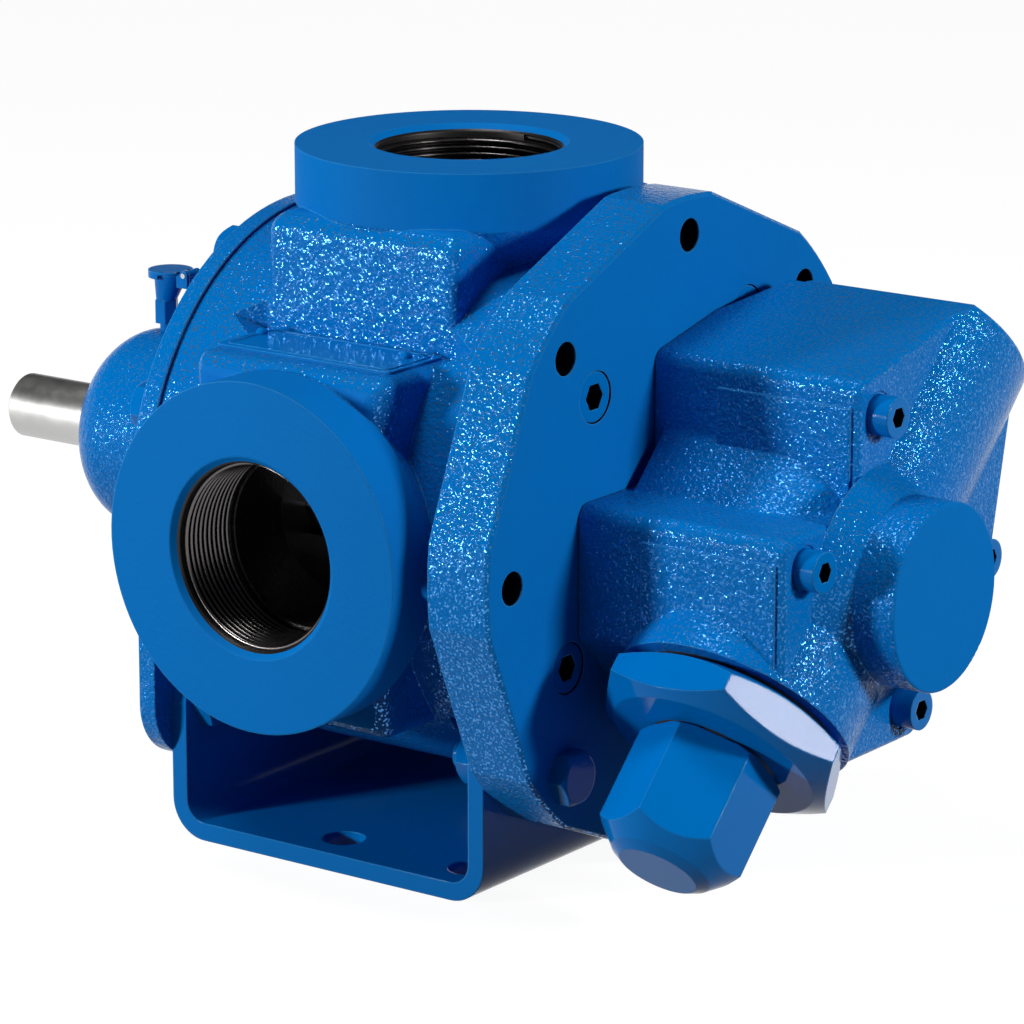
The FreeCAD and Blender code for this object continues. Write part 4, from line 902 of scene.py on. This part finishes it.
class PumpPaint:
    """Gives every CAD node its finish."""

    def __init__(self, groups: Groups) -> None:
        """Build the finishes.

        Args:
            groups: the shared effects.
        """
        boss = 0.0962            # shaft axis to the back of each port's boss
        head_face = 0.0862       # station just behind the head's machined face
        valve_face = 0.1866      # station just behind the valve's machined round face
        flange_circle = 0.09445  # radius of the circle of the head's flange holes
        screw_ring = {"circle": 0.0725, "count": 5, "start": 44.5}
        cast = Surface.CAST
        # holes whose insides get painted shade
        flange_holes = Holes(front=0.0860, radius=0.0056, circle=flange_circle)
        counterbores = Holes(front=0.0863, radius=0.0086, **screw_ring)
        sunk_sockets = Holes(front=0.0858, radius=0.0047, **screw_ring)
        proud_sockets = Holes(front=0.1702, radius=0.0036)
        self.casing = Enamel("casing_enamel", cast, faces=(
            ("Z", AXIS_HEIGHT + boss, 1), ("Y", -boss, -1)), bare_bores=True).make(groups)
        self.head = Enamel("head_enamel", cast, faces=(("X", head_face, 1),),
                           holes=(flange_holes, counterbores)).make(groups)
        self.sunk = Enamel("sunk_screw_enamel", Surface.FASTENER,
                           holes=(sunk_sockets,)).make(groups)
        self.proud = Enamel("proud_screw_enamel", Surface.FASTENER,
                            holes=(proud_sockets,)).make(groups)
        # painted shade: the bracket and relief-valve gaskets get a darker blue so that their
        # joints read as shaded gaps
        self.edge = Enamel("gasket_edge_shade_enamel", Surface.PLATE, (0.0, 0.05, 0.2), 0.5).make(groups)
        # painted shade: the bonnet and cap gaskets are near-black navy so that their joints read
        # as shaded gaps
        self.gap_shade = Soft("gap_shade_sheet", (0.002, 0.004, 0.012), 0.8).make(groups)
        self.bracket = Enamel("bracket_enamel", cast, glint=0.3).make(groups)
        self.valve = Enamel("valve_enamel", cast, faces=(("X", valve_face, 1),), lines=True,
                            glint=0.4).make(groups)
        self.plate = Enamel("plate_enamel", Surface.PLATE).make(groups)
        self.hexagon = Enamel("turned_enamel", Surface.MACHINED).make(groups)
        self.fastener = Enamel("fastener_enamel", Surface.FASTENER).make(groups)
        self.shaft = Metal("bright_shaft", (0.50, 0.50, 0.49), 0.40).make(groups)
        self.iron = Metal("machined_iron", (0.17, 0.17, 0.18), 0.38).make(groups)
        self.thread = Metal("thread_metal", (0.13, 0.12, 0.12), 0.3, 400.0).make(groups)
        self.steel = Metal("machined_steel", (0.42, 0.42, 0.44), 0.3).make(groups)
        self.polished = Metal("polished_steel", (0.66, 0.66, 0.68), 0.12, 300.0,
                              0.000002).make(groups)
        self.bronze = Metal("turned_bronze", (0.56, 0.34, 0.13), 0.34).make(groups)
        self.rubber = Soft("moulded_rubber", (0.012, 0.012, 0.013), 0.55).make(groups)
        self.carbon = Soft("lapped_carbon", (0.03, 0.03, 0.033), 0.35).make(groups)
        self.fibre = Soft("fibre_sheet", (0.07, 0.085, 0.08), 0.8).make(groups)

    def dress_nodes(self) -> None:
        """Give each node the finish of its piece."""
        by_slot = {"blue_paint": self.fastener, "bare_steel": self.shaft,
                   "cast_iron": self.iron, "inner_steel": self.steel,
                   "bearing_steel": self.polished, "bronze": self.bronze,
                   "black_rubber": self.rubber, "seal_face": self.carbon,
                   "gasket_sheet": self.fibre}
        own = {"casing": self.casing, "head": self.head, "bearing_bracket": self.bracket,
               "relief_body": self.valve, "foot": self.plate, "nameplate": self.plate,
               "bonnet": self.hexagon, "relief_cap": self.hexagon,
               "head_screws": self.sunk, "relief_screws": self.proud,
               "bracket_gasket": self.edge, "relief_gasket": self.edge,
               "bonnet_gasket": self.gap_shade, "cap_gasket": self.gap_shade}
        for part in frame["record"]["subparts"]:
            name = part["node"]
            dress(name, own.get(name, by_slot[part["material_slot"]]))


@dataclass
class PhotoCamera:
    """Camera at the photograph's viewpoint.

    Args:
        azimuth: turn round the pump, in degrees.
        elevation: height above the horizon, in degrees.
        distance: distance from the shaft axis, in metres.
        right: sideways shift of the aim, in metres.
        up: upward shift of the aim, in metres.
        lens: focal length on a 36 mm sensor.
    """

    azimuth: float = 36.241
    elevation: float = 14.714
    distance: float = 1.681057
    right: float = 0.013878
    up: float = -0.008867
    lens: float = 179.49

    def build(self) -> bpy.types.Object:
        """Make the scene's camera.

        Returns:
            The camera object.
        """
        a, e = math.radians(self.azimuth), math.radians(self.elevation)
        back = Vector((math.sin(a) * math.cos(e), -math.cos(a) * math.cos(e), math.sin(e)))
        right = Vector((math.cos(a), math.sin(a), 0.0))
        up = back.cross(right)
        data = bpy.data.cameras.new("photo_camera")
        data.lens = self.lens
        data.sensor_width = 36.0
        data.clip_end = 20.0
        camera = bpy.data.objects.new("photo_camera", data)
        bpy.context.scene.collection.objects.link(camera)
        turn = Matrix((right, up, back)).transposed().to_4x4()
        aim = Vector((0.0, 0.0, AXIS_HEIGHT))
        spot = aim + right * self.right + up * self.up + back * self.distance
        camera.matrix_world = Matrix.Translation(spot) @ turn
        bpy.context.scene.camera = camera
        return camera


@dataclass
class Lamp:
    """One soft box aimed at the pump.

    Args:
        name: the lamp's name.
        direction: where it stands, seen from the pump.
        distance: how far off it stands.
        size: its width and height.
        power: its power in watts.
    """

    name: str
    direction: tuple[float, float, float]
    distance: float
    size: tuple[float, float]
    power: float

    def build(self) -> bpy.types.Object:
        """Make the lamp.

        Returns:
            The lamp object.
        """
        data = bpy.data.lights.new(self.name, "AREA")
        data.shape = "RECTANGLE"
        data.size, data.size_y = self.size
        data.energy = self.power
        lamp = bpy.data.objects.new(self.name, data)
        bpy.context.scene.collection.objects.link(lamp)
        way = Vector(self.direction).normalized()
        lamp.visible_camera = False
        lamp.location = Vector((0.0, 0.0, AXIS_HEIGHT)) + way * self.distance
        lamp.rotation_mode = "QUATERNION"
        lamp.rotation_quaternion = (-way).to_track_quat("-Z", "Y")
        return lamp


@dataclass
class Studio:
    """Floor, world and lamps.

    Args:
        floor_size: side of the square floor, in metres.
        floor_white: the floor's grey where it is seen.
        bounce: the floor's grey as a source of light.
        glow: strength of the floor's own light where it is seen.
        glow_share: share of that light in what is seen.
        ambient: the world's strength as a source of light.
        zenith: the world's strength overhead where it is seen.
        horizon: heights between which the seen world falls from white to the zenith.
        lamps: the lamps.
    """

    floor_size: float = 12.0
    floor_white: float = 0.86
    bounce: float = 0.15
    glow: float = 1.15
    glow_share: float = 0.82
    ambient: float = 0.02
    zenith: float = 0.04
    horizon: tuple[float, float] = (0.1, 0.22)
    lamps: tuple[Lamp, ...] = field(default_factory=lambda: (
        Lamp("left_key", (-0.48, -0.85, 0.15), 1.3, (0.16, 0.16), 12.0),
        Lamp("top_box", (-0.15, -0.20, 0.97), 1.5, (0.5, 0.5), 11.5),
        Lamp("right_box", (0.952, 0.071, 0.297), 1.25, (0.16, 0.16), 9.0),
    ))

    def build(self) -> None:
        """Make everything round the pump."""
        self._floor()
        self._world()
        for lamp in self.lamps:
            lamp.build()
        bpy.context.scene.view_settings.view_transform = "Standard"

    def _seen(self, t: NodeTree) -> bpy.types.NodeSocket:
        """Tell what is seen, straight or in a reflection or glass, from light that is shed.

        Args:
            t: the material's or world's builder.

        Returns:
            A socket that is 1 for rays from the camera, reflections and glass.
        """
        path = t.add("LightPath")
        seen = t.math("MAXIMUM", path.outputs["Is Camera Ray"], path.outputs["Is Glossy Ray"])
        return t.math("MAXIMUM", seen, path.outputs["Is Transmission Ray"])

    def _floor(self) -> None:
        """Pale floor that shows white to the camera and keeps the pump's shadow."""
        h = self.floor_size / 2
        mesh = bpy.data.meshes.new("studio_floor")
        mesh.from_pydata([(-h, -h, 0), (h, -h, 0), (h, h, 0), (-h, h, 0)], [], [(0, 1, 2, 3)])
        floor = bpy.data.objects.new("studio_floor", mesh)
        bpy.context.scene.collection.objects.link(floor)
        material = bpy.data.materials.new("pale_floor")
        material.use_nodes = True
        t = NodeTree(material.node_tree)
        seen = self._seen(t)
        glow = t.add("Emission", {"Color": (1, 1, 1, 1), "Strength": self.glow})
        grey = t.mix_color(seen, (self.bounce,) * 3 + (1.0,), (self.floor_white,) * 3 + (1.0,))
        plain = t.add("BsdfDiffuse", {"Color": grey})
        share = t.math("MULTIPLY", seen, self.glow_share)
        mix = t.add("MixShader", {0: share, 1: plain.outputs[0], 2: glow.outputs[0]})
        out = material.node_tree.nodes["Material Output"]
        t.tree.links.new(mix.outputs[0], out.inputs["Surface"])
        mesh.materials.append(material)

    def _world(self) -> None:
        """White round the pump and darker overhead when seen, soft grey as light."""
        world = bpy.data.worlds.new("studio_world")
        world.use_nodes = True
        bpy.context.scene.world = world
        t = NodeTree(world.node_tree)
        seen = self._seen(t)
        shade = world.node_tree.nodes["Background"]
        shade.inputs["Color"].default_value = (1, 1, 1, 1)
        up = t.add("SeparateXYZ", {0: t.add("TexCoord").outputs["Generated"]}).outputs[2]
        shown = t.mix_value(t.ramp(up, *self.horizon), 1.0, self.zenith)
        strength = t.mix_value(seen, self.ambient, shown)
        t.tree.links.new(strength, shade.inputs["Strength"])


def main() -> None:
    """Dress the pump and set up the studio."""
    logging.basicConfig(level=logging.INFO, format="%(name)s: %(message)s")
    groups = Groups()
    paint = PumpPaint(groups)
    paint.dress_nodes()
    for place in Place:
        PortThread(place).build(paint.thread)
    PlateRim().build(paint.plate)
    PhotoCamera().build()
    Studio().build()


if __name__ == "__main__":
    main()
